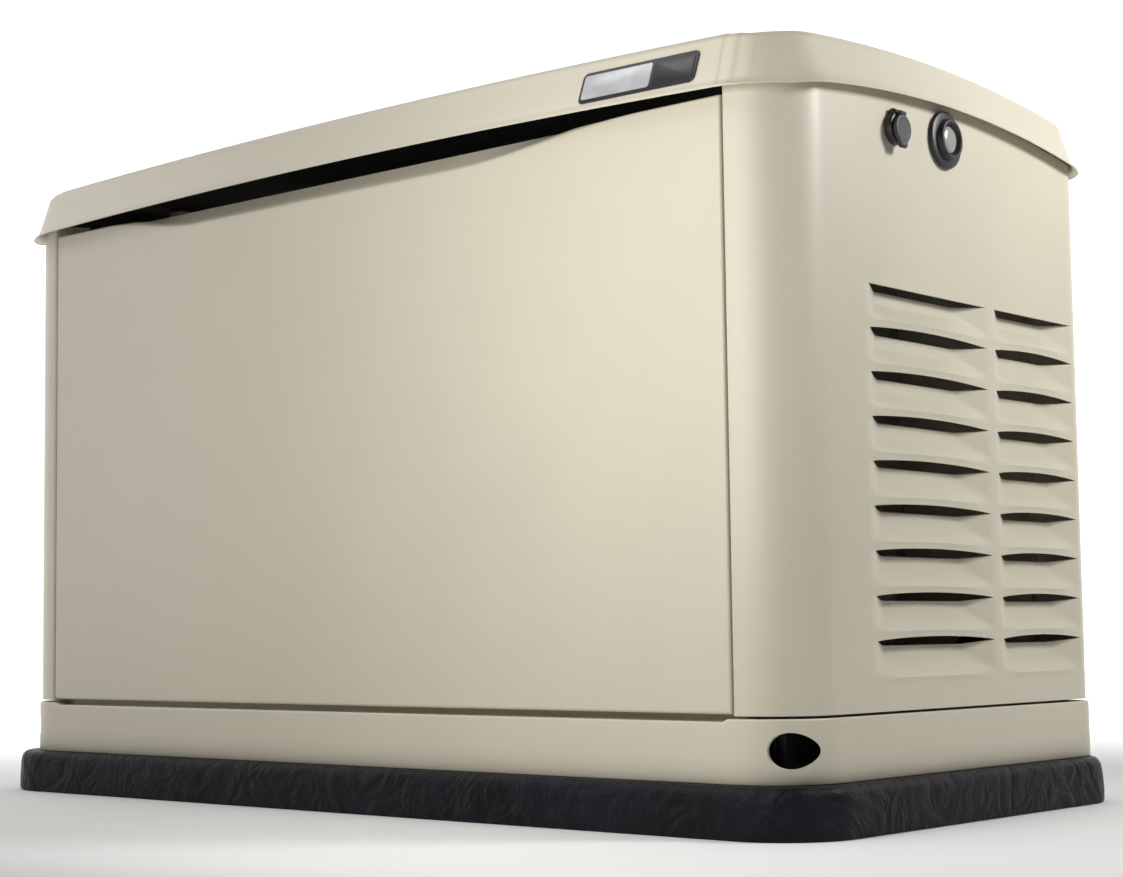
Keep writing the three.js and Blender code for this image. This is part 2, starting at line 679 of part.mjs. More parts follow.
function flywheelFan() {
  const blades = Array.from({ length: 14 }, (_, k) =>
    block([-332, -299], [-1.8, 1.8], [74, 124])
      .rotate([(360 * k) / 14, 0, 0]).translate([0, crank.y, crank.z]),
  );
  const wheel = turned("x", [[-334, crank.shaft + TOUCH], [-334, 44], [-300, 52], [-300, 128],
    [-282, 128],
    [-282, crank.shaft + TOUCH]], [crank.y, crank.z]);
  return union(wheel, ...blades);
}

const crankshaft = () => turned("x", [[-338, 0], [-338, crank.shaft], [-62, crank.shaft], [-62, 26],
  [-40, 26],
  [-40, 14], [-20, 14], [-20, 0]], [crank.y, crank.z], ROUND_SIDES);

// The alternator's cooling fan, its two-pole rotor and the tail of its shaft.
function alternatorRotor() {
  const { core, coreEnd, rotor } = alternator;
  const centre = [crank.y, crank.z];
  const blades = Array.from({ length: 10 }, (_, k) =>
    block([-14, 20], [-2, 2], [20, 106]).rotate([(360 * k) / 10, 0, 0]).translate([0, ...centre]),
  );
  const slots = [-1, 1].map((s) => block([core - 4, coreEnd + 4], [-34, 34],
    [s > 0 ? 62 : -rotor - 9, s > 0 ? rotor + 9 : -62])
    .translate([0, ...centre]));
  const shape = turned("x", [[-19, 0], [-19, 40], [-16, 110], [-10, 110], [-8, 40], [core, 30],
    [core, rotor],
    [coreEnd, rotor], [coreEnd, 18], [282, 15], [282, 0]], centre);
  return union(cut(shape, ...slots), ...blades);
}

function statorCan() {
  const { left, core, coreEnd, right, radius, bore } = alternator;
  const centre = [crank.y, crank.z];
  const drum = turned("x", [[left, 120], [20, radius], [right, radius], [right, radius - 10],
    [coreEnd, radius - 10],
    [coreEnd, bore], [core, bore], [core, 115], [left, 115]], centre);
  const feet = union(
    block([168, 212], [-130, 130], [mount.top + TOUCH, 101]),
    block([172, 208], [-60, 60], [100, crank.z - radius + 6]),
  );
  const vents = Array.from({ length: 6 }, (_, k) =>
    block([-40, 30], [-10, 10], [108, 150]).rotate([60 * k + 30, 0, 0]).translate([0, ...centre]),
  );
  return union(cut(drum, ...vents), feet);
}

function bearingCarrier() {
  const { right, radius } = alternator;
  const centre = [crank.y, crank.z];
  const plate = turned("x", [[right + TOUCH, 17], [right + TOUCH, radius], [right + 14, radius],
    [right + 30, 46],
    [right + 30, 17]], centre);
  const windows = Array.from({ length: 6 }, (_, k) =>
    block([right - 5, right + 40], [-22, 22], [62, 112]).rotate([60 * k, 0, 0]).translate([0,
      ...centre]),
  );
  return cut(plate, ...windows);
}

function starterMotor() {
  const { left, right, y, z, radius } = starter;
  const drum = [[left, 0], [left, radius - 14], [left + 8, radius - 4], [left + 20, radius],
    [right - 8, radius],
    [right, radius - 8], [right, 0]];
  return union(
    turned("x", drum, [y, z], ROUND_SIDES),
    bar("x", solenoid.radius, [left + 18, right - 16], [solenoid.y, solenoid.z], 16),
    block([left + 24, right - 24], [y - 10, y + 8], [z + radius - 8, z + radius + 8]),
  );
}

const oilFilter = () => turned("y", [[-128 - TOUCH, 0], [-128 - TOUCH, 36], [-196, 36], [-206, 28],
  [-206, 0]],
  [filter.x, filter.z], ROUND_SIDES);

function oilDipstick() {
  const { x, y, mouth, stem, length } = dipstick;
  return union(
    bar("z", stem, [mouth - length, mouth + 6], [x, y], 10),
    bar("z", 11, [mouth + TOUCH, mouth + 9], [x, y], 16),
    block([x - 13, x + 13], [y - 3.5, y + 3.5], [mouth + 8, mouth + 26]),
  );
}

// ---------------------------------------------------------------- air, fuel and exhaust
function airRing(by, z) {
  const [x, y] = [(airBox.x[0] + airBox.x[1]) / 2, (airBox.y[0] + airBox.y[1]) / 2];
  const [a, b] = [(airBox.x[1] - airBox.x[0]) / 2 - by, (airBox.y[1] - airBox.y[0]) / 2 - by];
  return roundedOutline(a, b, 26, 26, 4).map(([u, v]) => [x + u, y + v, z]);
}

const airCleanerBox = () => loft([airRing(18, airBox.floor), airRing(4, airBox.floor + 12),
  airRing(4, airBox.split - 8),
  airRing(0, airBox.split - 8), airRing(0, airBox.split)]);
const airCleanerCover = () => loft([airRing(0, airBox.split + TOUCH), airRing(0, airBox.split + 8),
  airRing(4, airBox.split + 8), airRing(6, airBox.top - 12), airRing(12, airBox.top - 3),
    airRing(20, airBox.top)]);

function fuelMixer() {
  const x = -158;
  const foot = crank.z + (engine.deck * Math.SQRT2) / 2 + 64 / Math.SQRT2;
  return union(
    block([x - 34, x + 34], [-26, 26], [foot + TOUCH, foot + 14]),
    bar("z", 24, [foot + 10, airBox.floor - 24], [x, 0]),
    block([x - 38, x + 38], [-34, 34], [430, 470]),
    block([x - 46, x + 46], [-42, 42], [airBox.floor - 26, airBox.floor - TOUCH]),
    bar("y", 6, [-52, -30], [x, 450], 12),
    bar("x", 10, [x + 36, x + 58], [12, 450], 12),
  );
}

// The lever that sets the mixer for one gas or the other.
const fuelSelector = () => union(
  cut(bar("y", 13, [-50, -43], [-158, 450], 16), bar("y", 6 + RUN / 2, [-60, -30], [-158, 450], 12)),
  block([-163, -153], [-50, -43], [459, 494]),
);

function fuelRegulator() {
  const { x, z, radius, front, back, out } = regulator;
  const centre = [x, z];
  const bowl = turned("y", [[front, 0], [front, radius - 16], [front + 10, radius - 4],
    [front + 16, radius],
    [back - 12, radius], [back, radius - 22], [back, 0]], centre);
  const hex = bar("y", 21, [panelY + 5, panelY + 15], centre, 6);
  const inlet = bar("y", regulator.pipe, [back - 2, panelY + out], centre);
  const spigot = bar("x", 10, [x - radius - 16, x - radius + 10], [(front + back) / 2, z], 12);
  return union(bowl, inlet, hex, spigot);
}

const fuelHose = () => pipe(9, [
  [regulator.x - regulator.radius - 17, 185, regulator.z], [-40, 184, 441], [-66, 150, 448],
    [-68, 90, 452],
  [-66, 40, 451], [-80, 13, 450], [-90, 12, 450], [-99, 12, 450],
], { sides: 8, steps: 26 });

function mufflerDrum() {
  const { x, z, radius, half } = muffler;
  const drum = turned("y", [[-half, 0], [-half, radius - 22], [-half + 6, radius - 8],
    [-half + 16, radius],
    [half - 16, radius], [half - 6, radius - 8], [half, radius - 22], [half, 0]], [x, z]);
  return union(drum, bar("x", 24, [x - radius - 16, x - radius + 12], [100, z]));
}

// Both exhaust pipes, joined by the collector that lies on the muffler's flank.
function exhaustPipes() {
  const { x, z, radius } = muffler;
  const reach = crank.z + engine.deck + TOUCH + engine.barrel + 24 - crank.z;
  const port = reach / Math.SQRT2;
  const entry = x + radius + TOUCH;
  const branch = (side, head) => pipe(15, [
    [head - 71, side * port, crank.z + port], [head - 110, side * port, crank.z + port],
    [-330, side * port, crank.z + port - 2], [-372, side * port * 0.9, crank.z + port - 44],
    [entry + 18, side * 74, z + 26], [entry + 17, side * 30, z + 4], [entry + 17, 0, z],
  ], { sides: 8, steps: 22 });
  return union(branch(-1, cylinderX.front), branch(1, cylinderX.rear),
    bar("x", 19, [entry, entry + 34], [0, z], 16));
}

// A sheet across the housing with its top edge under the lid and its corners clear of the rounded panels.
function bulkhead(x, [y0, y1], holes) {
  return cut(
    union(
      block([x, x + divider.wall], [y0, y1], [floorTop + TOUCH, divider.top]),
      block([x, x + 16], [y0, y1], [floorTop + TOUCH, floorTop + TOUCH + divider.wall]),
    ),
    ...holes,
  );
}

function exhaustDivider() {
  const reach = (engine.deck + engine.barrel + 24) / Math.SQRT2;
  const windows = [-1, 1].map((side) =>
    block([divider.left - CUT, divider.left + CUT], side < 0 ? [-reach - 30, -28] : [28, reach + 30],
      [240, 420]));
  const collector = block([divider.left - CUT, divider.left + CUT], [-40, 40], [240, 330]);
  return bulkhead(divider.left, [-dividerRear, dividerRear], [...windows, collector]);
}

const alternatorDivider = () => bulkhead(divider.right, [-panelY + 46, dividerRear], [
  bar("x", 116, [divider.right - CUT, divider.right + CUT], [crank.y, crank.z], DRUM_SIDES),
  ...Object.values(cableGates).map(({ y, z }) =>
    block([divider.right - CUT, divider.right + CUT], [y - 12, y + 12], [z - 12, z + 12])),
]);

// ---------------------------------------------------------------- controls and battery
function controlBox() {
  const { left, bottom, top, slopeFoot } = controls;
  const front = controlsFront;
  const back = front + controls.deep;
  const slopeTop = front + controls.slopeRun;
  const outline = [[front, bottom], [back, bottom], [back, top], [slopeTop, top], [front, slopeFoot]];
  const breakerHole = block([breaker.x - 29, breaker.x + 29], [front - CUT, front + 40],
    [breaker.z - 37, breaker.z + 37]);
  return cut(prismX(outline, [left, controlsRight]), breakerHole);
}

// A piece made lying on Z = 0 with +Y up the slope, set on the control box's sloping face.
function onSlope(piece) {
  const { x, y, z } = faceMiddle;
  return piece.rotate([(slope * 180) / Math.PI, 0, 0]).translate([x, y, z]);
}

function controlFascia() {
  const plate = prism(roundedOutline(96, 50, 8, 8, 3), [TOUCH, 8]);
  const wells = Object.values(keys).map((x) =>
    block([x - keyCap.half[0] - RUN, x + keyCap.half[0] + RUN],
      [keyCap.y - keyCap.half[1] - RUN, keyCap.y + keyCap.half[1] + RUN], [3, 20]));
  return onSlope(cut(plate, ...wells, block([-62, 34], [-6, 34], [4, 20])));
}

function keyButton(x) {
  const [a, b] = keyCap.half;
  return onSlope(block([x - a, x + a], [keyCap.y - b, keyCap.y + b],
    [3 + keyCap.travel + 0.7, 8 + keyCap.high - 1.5]));
}

function mainBreaker() {
  const { x, z } = breaker;
  const front = controlsFront;
  return cut(
    union(
      block([x - 28, x + 28], [front - 4, front + 38], [z - 36, z + 36]),
      block([x - 34, x + 34], [front - 7, front - TOUCH], [z - 46, z + 46]),
    ),
    block([x - 9, x + 9], [front - CUT, front + 14], [z - 17, z + 17]),
  );
}

// The breaker's handle turns about an axis along X, inside the breaker's slot.
function breakerToggle() {
  const { x, z } = breaker;
  const pivotY = controlsFront + 4;
  return union(
    bar("x", 7, [x - 8, x + 8], [pivotY, z], 16),
    block([x - 6, x + 6], [-19, 0], [-4, 4]).rotate([-20, 0, 0]).translate([0, pivotY, z]),
  );
}

function starterBattery() {
  const { x, length, depth, height } = battery;
  const y = (batteryFront + batteryRear) / 2;
  const foot = floorTop + TOUCH;
  const ring = (by, z) => roundedOutline(length / 2 - by, depth / 2 - by, 8, 8,
    2).map(([a, b]) => [x + a, y + b, z]);
  const lidStep = foot + height - 26;
  const box = loft([ring(3, foot), ring(3, lidStep), ring(0, lidStep), ring(0, foot + height - 8),
    ring(4, foot + height - 6)]);
  const post = (dx) => bar("z", 9, [foot + height - 8, foot + height + 10], [x + dx, terminal.y], 16);
  return union(box, post(-terminal.dx), post(terminal.dx));
}

function cableWithLug(points, radius) {
  const [x, y] = points[0];
  return union(
    block([x - 10, x + 10], [y - 10, y + 10], [postTop + TOUCH, postTop + 10]),
    pipe(radius, points, { sides: 6, steps: 34 }),
  );
}

// From the battery, along the base behind the door, and up in front of the starter to the solenoid.
const positiveCable = () => {
  const run = -panelY + 67;
  const lead = starter.y - 44;
  const { y, z } = cableGates.positive;
  return cableWithLug([
    [battery.x - terminal.dx, terminal.y, postTop + 6],
    [battery.x - terminal.dx - 18, terminal.y - 2, postTop + 8],
    [divider.right + 10, y, z + 2],
    [divider.right - 8, y, z - 6],
    [336, run, 215],
    [326, run - 2, 120],
    [280, run, 86],
    [150, run + 2, 80],
    [-60, run + 4, 80],
    [-136, (run + 4 + lead - 12) / 2, 84],
    [-151, lead - 14, 108],
    [-150, lead - 6, 150],
    [-148, lead, 205],
    [-144, solenoid.y - 24, solenoid.z + 2],
    [-144, solenoid.y - 6, solenoid.z + 4],
    [-152, solenoid.y, solenoid.z + 1],
    [starter.right - 10, solenoid.y, solenoid.z],
  ], 6);
};

// From the battery, down behind it, and under the alternator to the crankcase.
const negativeCable = () => {
  const { y, z } = cableGates.negative;
  return cableWithLug([
    [battery.x + terminal.dx, terminal.y, postTop + 6],
    [battery.x + terminal.dx, terminal.y + 60, postTop + 16],
    [500, batteryRear + 35, postTop - 24],
    [470, batteryRear + 75, 150],
    [430, batteryRear + 89, 96],
    [divider.right + 8, y, z],
    [divider.right - 8, y, z],
    [300, -40, 74],
    [262, -104, 76],
    [228, -144, 80],
  ], 6);
};

// ---------------------------------------------------------------- assembly
place("mounting_pad", mountingPad(), composite);
place("base_pan", basePan(), tan);
place("right_side_panel", cut(sidePanel(), lightHole()), tan);
place("left_side_panel", mirrored(sidePanel()), tan);
place("rear_panel", rearPanel(), tan);
place("front_door", frontDoor(), tan);

place("roof", roofShell(), tan);
place("badge_plate", badgePlate(), blackPlastic);
[["left", -1], ["right", 1]].forEach(([name, side]) => {
  place(`hinge_base_${name}`, hingeBase(side * hinge.x), zinc);
  place(`hinge_leaf_${name}`, hingeLeaf(side * hinge.x), zinc);
  const facing = (piece) => (side > 0 ? piece : mirrored(piece));
  place(`lid_striker_${name}`, facing(lidStriker()), zinc);
  place(`lock_body_${name}`, facing(lockBody()), blackPlastic);
  place(`lock_plug_${name}`, facing(lockPlug()), zinc);
  place(`lock_cover_${name}`, facing(lockCover()), rubber);
});
place("light_bezel", lightBezel(), blackPlastic);
place("light_lens", lightLens(), lens);

place("crankcase", crankcase(), castMetal);
[["front", 1], ["rear", -1]].forEach(([name, side]) => {
  place(`cylinder_${name}`, cylinder(side, cylinderX[name]), castMetal);
  place(`valve_cover_${name}`, valveCover(side, cylinderX[name]), darkSteel);
});
place("blower_housing", blowerHousing(), blackPlastic);
place("flywheel_fan", flywheelFan(), castMetal);
place("crankshaft", crankshaft(), zinc);
place("alternator_rotor", alternatorRotor(), darkSteel);
place("stator_can", statorCan(), castMetal);
place("bearing_carrier", bearingCarrier(), castMetal);
place("starter_motor", starterMotor(), darkSteel);
place("oil_filter", oilFilter(), yellow);
place("oil_dipstick", oilDipstick(), yellow);
[[-232, -104], [-232, 104], [190, -104], [190, 104]].forEach(([x, y], k) => {
  place(`rubber_mount_${k + 1}`, rubberMount(x, y), rubber);
});

place("air_cleaner_box", airCleanerBox(), blackPlastic);
place("air_cleaner_cover", airCleanerCover(), blackPlastic);
place("fuel_mixer", fuelMixer(), castMetal);
place("fuel_selector", fuelSelector(), red);
place("fuel_regulator", fuelRegulator(), castMetal);
place("fuel_hose", fuelHose(), rubber);
place("muffler", mufflerDrum(), hotSteel);
place("exhaust_pipes", exhaustPipes(), hotSteel);
place("exhaust_divider", exhaustDivider(), zinc);
place("alternator_divider", alternatorDivider(), zinc);

place("control_box", controlBox(), greyPlastic);
place("control_fascia", controlFascia(), blackPlastic);
Object.entries(keys).forEach(([name, x]) => place(`key_${name}`, keyButton(x), greyPlastic));
place("main_breaker", mainBreaker(), blackPlastic);
place("breaker_toggle", breakerToggle(), blackPlastic);
place("battery", starterBattery(), blackPlastic);
place("cable_positive", positiveCable(), red);
place("cable_negative", negativeCable(), rubber);

export default generator;
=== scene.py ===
"""A home standby generator: painted housing, engine, alternator and controls, on a composite pad.

Sizes are in millimetres until a mesh is made. X is to the right of the door, -Y is the front and Z is up.
"""

import json
import math

import bmesh
import bpy
from mathutils import Matrix, Vector, noise

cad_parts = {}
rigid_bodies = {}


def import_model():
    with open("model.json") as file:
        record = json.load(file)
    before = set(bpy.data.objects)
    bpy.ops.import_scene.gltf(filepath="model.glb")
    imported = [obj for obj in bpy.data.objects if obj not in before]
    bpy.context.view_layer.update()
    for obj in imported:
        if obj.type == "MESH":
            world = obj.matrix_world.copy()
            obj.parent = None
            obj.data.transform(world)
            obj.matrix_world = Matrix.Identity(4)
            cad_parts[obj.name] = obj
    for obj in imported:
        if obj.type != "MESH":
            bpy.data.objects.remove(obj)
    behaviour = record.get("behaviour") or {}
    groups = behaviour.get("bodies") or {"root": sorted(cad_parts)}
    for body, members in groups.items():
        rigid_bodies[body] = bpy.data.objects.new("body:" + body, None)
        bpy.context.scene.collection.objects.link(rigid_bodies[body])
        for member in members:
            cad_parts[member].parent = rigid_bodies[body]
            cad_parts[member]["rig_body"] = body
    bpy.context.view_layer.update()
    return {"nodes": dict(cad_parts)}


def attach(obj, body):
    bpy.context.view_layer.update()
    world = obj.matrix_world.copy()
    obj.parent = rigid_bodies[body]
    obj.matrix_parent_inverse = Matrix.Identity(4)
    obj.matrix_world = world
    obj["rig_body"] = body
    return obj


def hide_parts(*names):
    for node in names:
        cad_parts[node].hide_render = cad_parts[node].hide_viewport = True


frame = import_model()

MM = 0.001

# ------------------------------------------------------------------ sizes shared with the CAD part
PAD = {"x": 620, "y": 328, "z": 50, "corner": 84}
BODY_X, BODY_Y = 595, 305  # half length and half depth of the housing's walls
FRONT_CORNER, REAR_CORNER = 70, 38
WALL_BOTTOM, DOOR_BOTTOM, DOOR_TOP = 114, 115.5, 709
SEAM = 525  # where the side panels meet the door and the rear panel
DOOR_HALF = 523
BASE_X, BASE_Y, BASE_LOW, BASE_HIGH = 598, 308, 50.4, 111.4
LIP_X, LIP_Y, LID_CORNER, LID_REAR_CORNER = 609, 319, 80, 60
CRANK_Y, CRANK_Z = 0, 255
ROW_PITCH, ROW_TOP = 44, 534
SIDE_COLUMNS = [(-160, 73), (91, 267)]
REAR_COLUMNS = [(-470, -300), (-270, -100)]
REAR_TOP = 560


# ------------------------------------------------------------------ shaping helpers
def smoothstep(value, low, high):
    """0 below low, 1 above high and smooth between them. It falls instead if high is below low."""
    share = min(1.0, max(0.0, (value - low) / (high - low)))
    return share * share * (3 - 2 * share)


def soft_min(a, b, reach):
    """The smaller of two values, rounded where they are within reach of each other."""
    share = max(0.0, reach - abs(a - b)) / reach
    return min(a, b) - share * share * reach / 4


def spread(low, high, count):
    """count + 1 even steps from low to high."""
    return [low + (high - low) * k / count for k in range(count + 1)]


def lookup(table, value):
    """The second column of a table at a value of its first column, with straight lines between rows."""
    for (at_a, a), (at_b, b) in zip(table, table[1:]):
        if at_a <= value <= at_b:
            return a + (b - a) * (value - at_a) / (at_b - at_a)
    return table[0][1] if value < table[0][0] else table[-1][1]


def arc(centre, radius, start, end, steps):
    """Points of an arc, with the angles in degrees."""
    cx, cy = centre
    turns = [math.radians(a) for a in spread(start, end, steps)]
    return [(cx + radius * math.cos(a), cy + radius * math.sin(a)) for a in turns]


def rounded(half_x, half_y, front, rear, steps=12, along_x=(), along_y=()):
    """A rounded rectangle, anticlockwise from the front right, with extra points at the given places.

    A place beyond a straight stretch goes to its end, so every ring has the same number of points.
    """
    reach = half_x - max(front, rear)
    ys = [min(half_y - rear, max(front - half_y, y)) for y in sorted(along_y)]
    xs = [min(reach, max(-reach, x)) for x in sorted(along_x)]
    points = arc((half_x - front, -half_y + front), front, -90, 0, steps)
    points += [(half_x, y) for y in ys]
    points += arc((half_x - rear, half_y - rear), rear, 0, 90, steps)
    points += [(x, half_y) for x in reversed(xs)]
    points += arc((-half_x + rear, half_y - rear), rear, 90, 180, steps)
    points += [(-half_x, y) for y in reversed(ys)]
    points += arc((-half_x + front, -half_y + front), front, 180, 270, steps)
    points += [(x, -half_y) for x in xs]
    return points


# ------------------------------------------------------------------ mesh helpers
def new_object(name, verts, faces, material):
    """A mesh object from vertices in millimetres, with its faces turned outwards where it is closed."""
    mesh = bpy.data.meshes.new(name)
    mesh.from_pydata([tuple(c * MM for c in v) for v in verts], [], faces)
    mesh.validate()
    obj = bpy.data.objects.new(name, mesh)
    bpy.context.scene.collection.objects.link(obj)
    mesh.materials.append(material)
    return obj


def edit(obj, work):
    """Runs work(bm) on the object's mesh."""
    bm = bmesh.new()
    bm.from_mesh(obj.data)
    work(bm)
    bm.to_mesh(obj.data)
    bm.free()
    return obj


def face_outwards(obj):
    return edit(obj, lambda bm: bmesh.ops.recalc_face_normals(bm, faces=bm.faces))


def weld(obj, distance=0.02):
    return edit(obj, lambda bm: bmesh.ops.remove_doubles(bm, verts=bm.verts, dist=distance * MM))


def settle(obj, angle=35):
    """Applies the object's modifiers and shades it smooth, except over edges sharper than the angle."""
    depsgraph = bpy.context.evaluated_depsgraph_get()
    mesh = bpy.data.meshes.new_from_object(obj.evaluated_get(depsgraph))
    obj.modifiers.clear()
    obj.data = mesh
    mesh.shade_smooth()
    mesh.set_sharp_from_angle(angle=math.radians(angle))
    return obj


def thicken(obj, thickness, rim=True):
    """Gives a sheet its thickness, on the side that its faces look away from."""
    solid = obj.modifiers.new("thickness", "SOLIDIFY")
    solid.thickness = thickness * MM
    solid.offset = -1
    solid.use_even_offset = True
    solid.thickness_clamp = 1
    solid.use_rim = rim
    return obj


def bevelled(obj, width, segments=3, angle=35):
    bevel = obj.modifiers.new("bevel", "BEVEL")
    bevel.width = width * MM
    bevel.segments = segments
    bevel.limit_method = "ANGLE"
    bevel.angle_limit = math.radians(angle)
    return obj


def joined(name, objects, material=None):
    """One object out of several finished ones. Each keeps its own material unless one is given."""
    bm = bmesh.new()
    materials = []
    for obj in objects:
        if obj.modifiers:
            settle(obj)
        own = obj.data.materials[0]
        if own not in materials:
            materials.append(own)
        first = len(bm.faces)
        bm.from_mesh(obj.data)
        bm.faces.ensure_lookup_table()
        for face in bm.faces[first:]:
            face.material_index = materials.index(own)
        bpy.data.objects.remove(obj)
    mesh = bpy.data.meshes.new(name)
    bm.to_mesh(mesh)
    bm.free()
    whole = bpy.data.objects.new(name, mesh)
    bpy.context.scene.collection.objects.link(whole)
    for used in [material] if material else materials:
        mesh.materials.append(used)
    mesh.set_sharp_from_angle(angle=math.radians(35))
    return whole


def show(obj, body, nodes=()):
    """The object moves with the CAD body and stands for the CAD nodes."""
    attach(obj, body)
    if nodes:
        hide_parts(*nodes)
    return obj


def grid_faces(columns, rows, closed=False):
    """Quads over vertices numbered column by column."""
    last = columns if closed else columns - 1
    faces = []
    for i in range(last):
        j0, j1 = i * rows, ((i + 1) % columns) * rows
        faces += [(j0 + k, j1 + k, j1 + k + 1, j0 + k + 1) for k in range(rows - 1)]
    return faces


def lofted(name, rings, material, cap_low=True, cap_high=True, angle=35):
    """Closed rings of equal length, joined in order and capped."""
    count = len(rings[0])
    verts = [v for ring in rings for v in ring]
    faces = []
    for r in range(len(rings) - 1):
        for k in range(count):
            a, b = r * count + k, r * count + (k + 1) % count
            faces.append((a, b, b + count, a + count))
    if cap_low:
        faces.append(tuple(reversed(range(count))))
    if cap_high:
        faces.append(tuple(range((len(rings) - 1) * count, len(rings) * count)))
    obj = new_object(name, verts, faces, material)
    return settle(face_outwards(obj), angle)


def turned(name, axis, outline, centre, material, segments=64, angle=30):
    """A solid of revolution about a line along x, y or z. The outline is (along, radius) points."""
    spots = []
    for along, radius in outline:
        ring = []
        for k in range(segments):
            turn = 2 * math.pi * k / segments
            u, v = radius * math.cos(turn), radius * math.sin(turn)
            if axis == "x":
                ring.append((along, centre[0] + u, centre[1] + v))
            elif axis == "y":
                ring.append((centre[0] + u, along, centre[1] + v))
            else:
                ring.append((centre[0] + u, centre[1] + v, along))
        spots.append(ring)
    if outline[0][1] > 0 and outline[-1][1] > 0:
        spots.append(spots[0])
        obj = lofted(name, spots, material, False, False, angle)
    else:
        obj = lofted(name, [r for r in spots], material, False, False, angle)
    weld(obj)
    face_outwards(obj)
    return settle(obj, angle)


def rod(name, axis, radius, span, centre, material, segments=32, edge=1.0):
    """A round bar with softened ends."""
    low, high = span
    edge = min(edge, radius / 2, (high - low) / 3)
    outline = [(low, 0), (low, radius - edge), (low + edge, radius), (high - edge, radius), (high, radius - edge)]
    return turned(name, axis, [*outline, (high, 0)], centre, material, segments)


def box(name, x, y, z, material, edge=1.0, segments=2):
    """A block with softened edges."""
    verts = [(a, b, c) for a in x for b in y for c in z]
    faces = [(0, 1, 3, 2), (4, 6, 7, 5), (0, 4, 5, 1), (2, 3, 7, 6), (0, 2, 6, 4), (1, 5, 7, 3)]
    obj = face_outwards(new_object(name, verts, faces, material))
    return settle(bevelled(obj, edge, segments))


def slab(name, axis, outline, span, material, edge=1.0, segments=2):
    """A flat outline pushed along x, y or z. The outline gives the other two coordinates in order."""
    places = {"x": lambda a, b, t: (t, a, b), "y": lambda a, b, t: (a, t, b), "z": lambda a, b, t: (a, b, t)}
    rings = [[places[axis](a, b, t) for a, b in outline] for t in span]
    obj = lofted(name, rings, material)
    return settle(bevelled(obj, edge, segments)) if edge else obj


def hose(name, points, radius, material, sides=16, steps=10):
    """A round hose that runs smoothly through the points."""
    path = smooth_path([Vector(p) for p in points], steps)
    rings = []
    side = Vector((0, 0, 1))
    for k, spot in enumerate(path):
        ahead = (path[min(k + 1, len(path) - 1)] - path[max(k - 1, 0)]).normalized()
        across = ahead.cross(side)
        across = across.normalized() if across.length > 0.05 else Vector((1, 0, 0))
        side = across.cross(ahead).normalized()
        turns = [2 * math.pi * n / sides for n in range(sides)]
        rings.append([tuple(spot + across * radius * math.cos(t) + side * radius * math.sin(t)) for t in turns])
    return lofted(name, rings, material)


def smooth_path(points, steps):
    """A Catmull-Rom curve through the points."""
    ends = [2 * points[0] - points[1], *points, 2 * points[-1] - points[-2]]
    path = []
    for k in range(1, len(ends) - 2):
        p0, p1, p2, p3 = ends[k - 1 : k + 3]
        for n in range(steps):
            t = n / steps
            path.append(
                0.5 * (2 * p1 + (p2 - p0) * t + (2 * p0 - 5 * p1 + 4 * p2 - p3) * t * t
                       + (3 * p1 - p0 - 3 * p2 + p3) * t**3)
            )
    path.append(points[-1])
    return path


def carve(obj, *cutters):
    """Cuts the cutters out of the object and removes them."""
    for cutter in cutters:
        cut = obj.modifiers.new("cut", "BOOLEAN")
        cut.operation = "DIFFERENCE"
        cut.object = cutter
        cut.solver = "EXACT"
    settle(obj)
    for cutter in cutters:
        bpy.data.objects.remove(cutter)
    return obj


def moved(obj, matrix):
    """Moves the mesh itself. The matrix works in millimetres."""
    obj.data.transform(Matrix.Scale(MM, 4) @ matrix @ Matrix.Scale(1 / MM, 4))
    return obj


def bolt(name, axis, centre, base, material, size=10, height=6, outwards=1):
    """A hexagon-headed bolt with a washer, standing on a face at base."""
    sign = 1 if outwards > 0 else -1
    washer = rod(name, axis, size * 0.62, sorted((base, base + sign * 1.2)), centre, material, 20, 0.3)
    top = base + sign * height
    head = turned(
        name, axis, [(base, 0), (base, size / 2), (top - sign, size / 2), (top, size / 2 - 1.2), (top, 0)],
        centre, material, 6,
    )
    return joined(name, [washer, head])


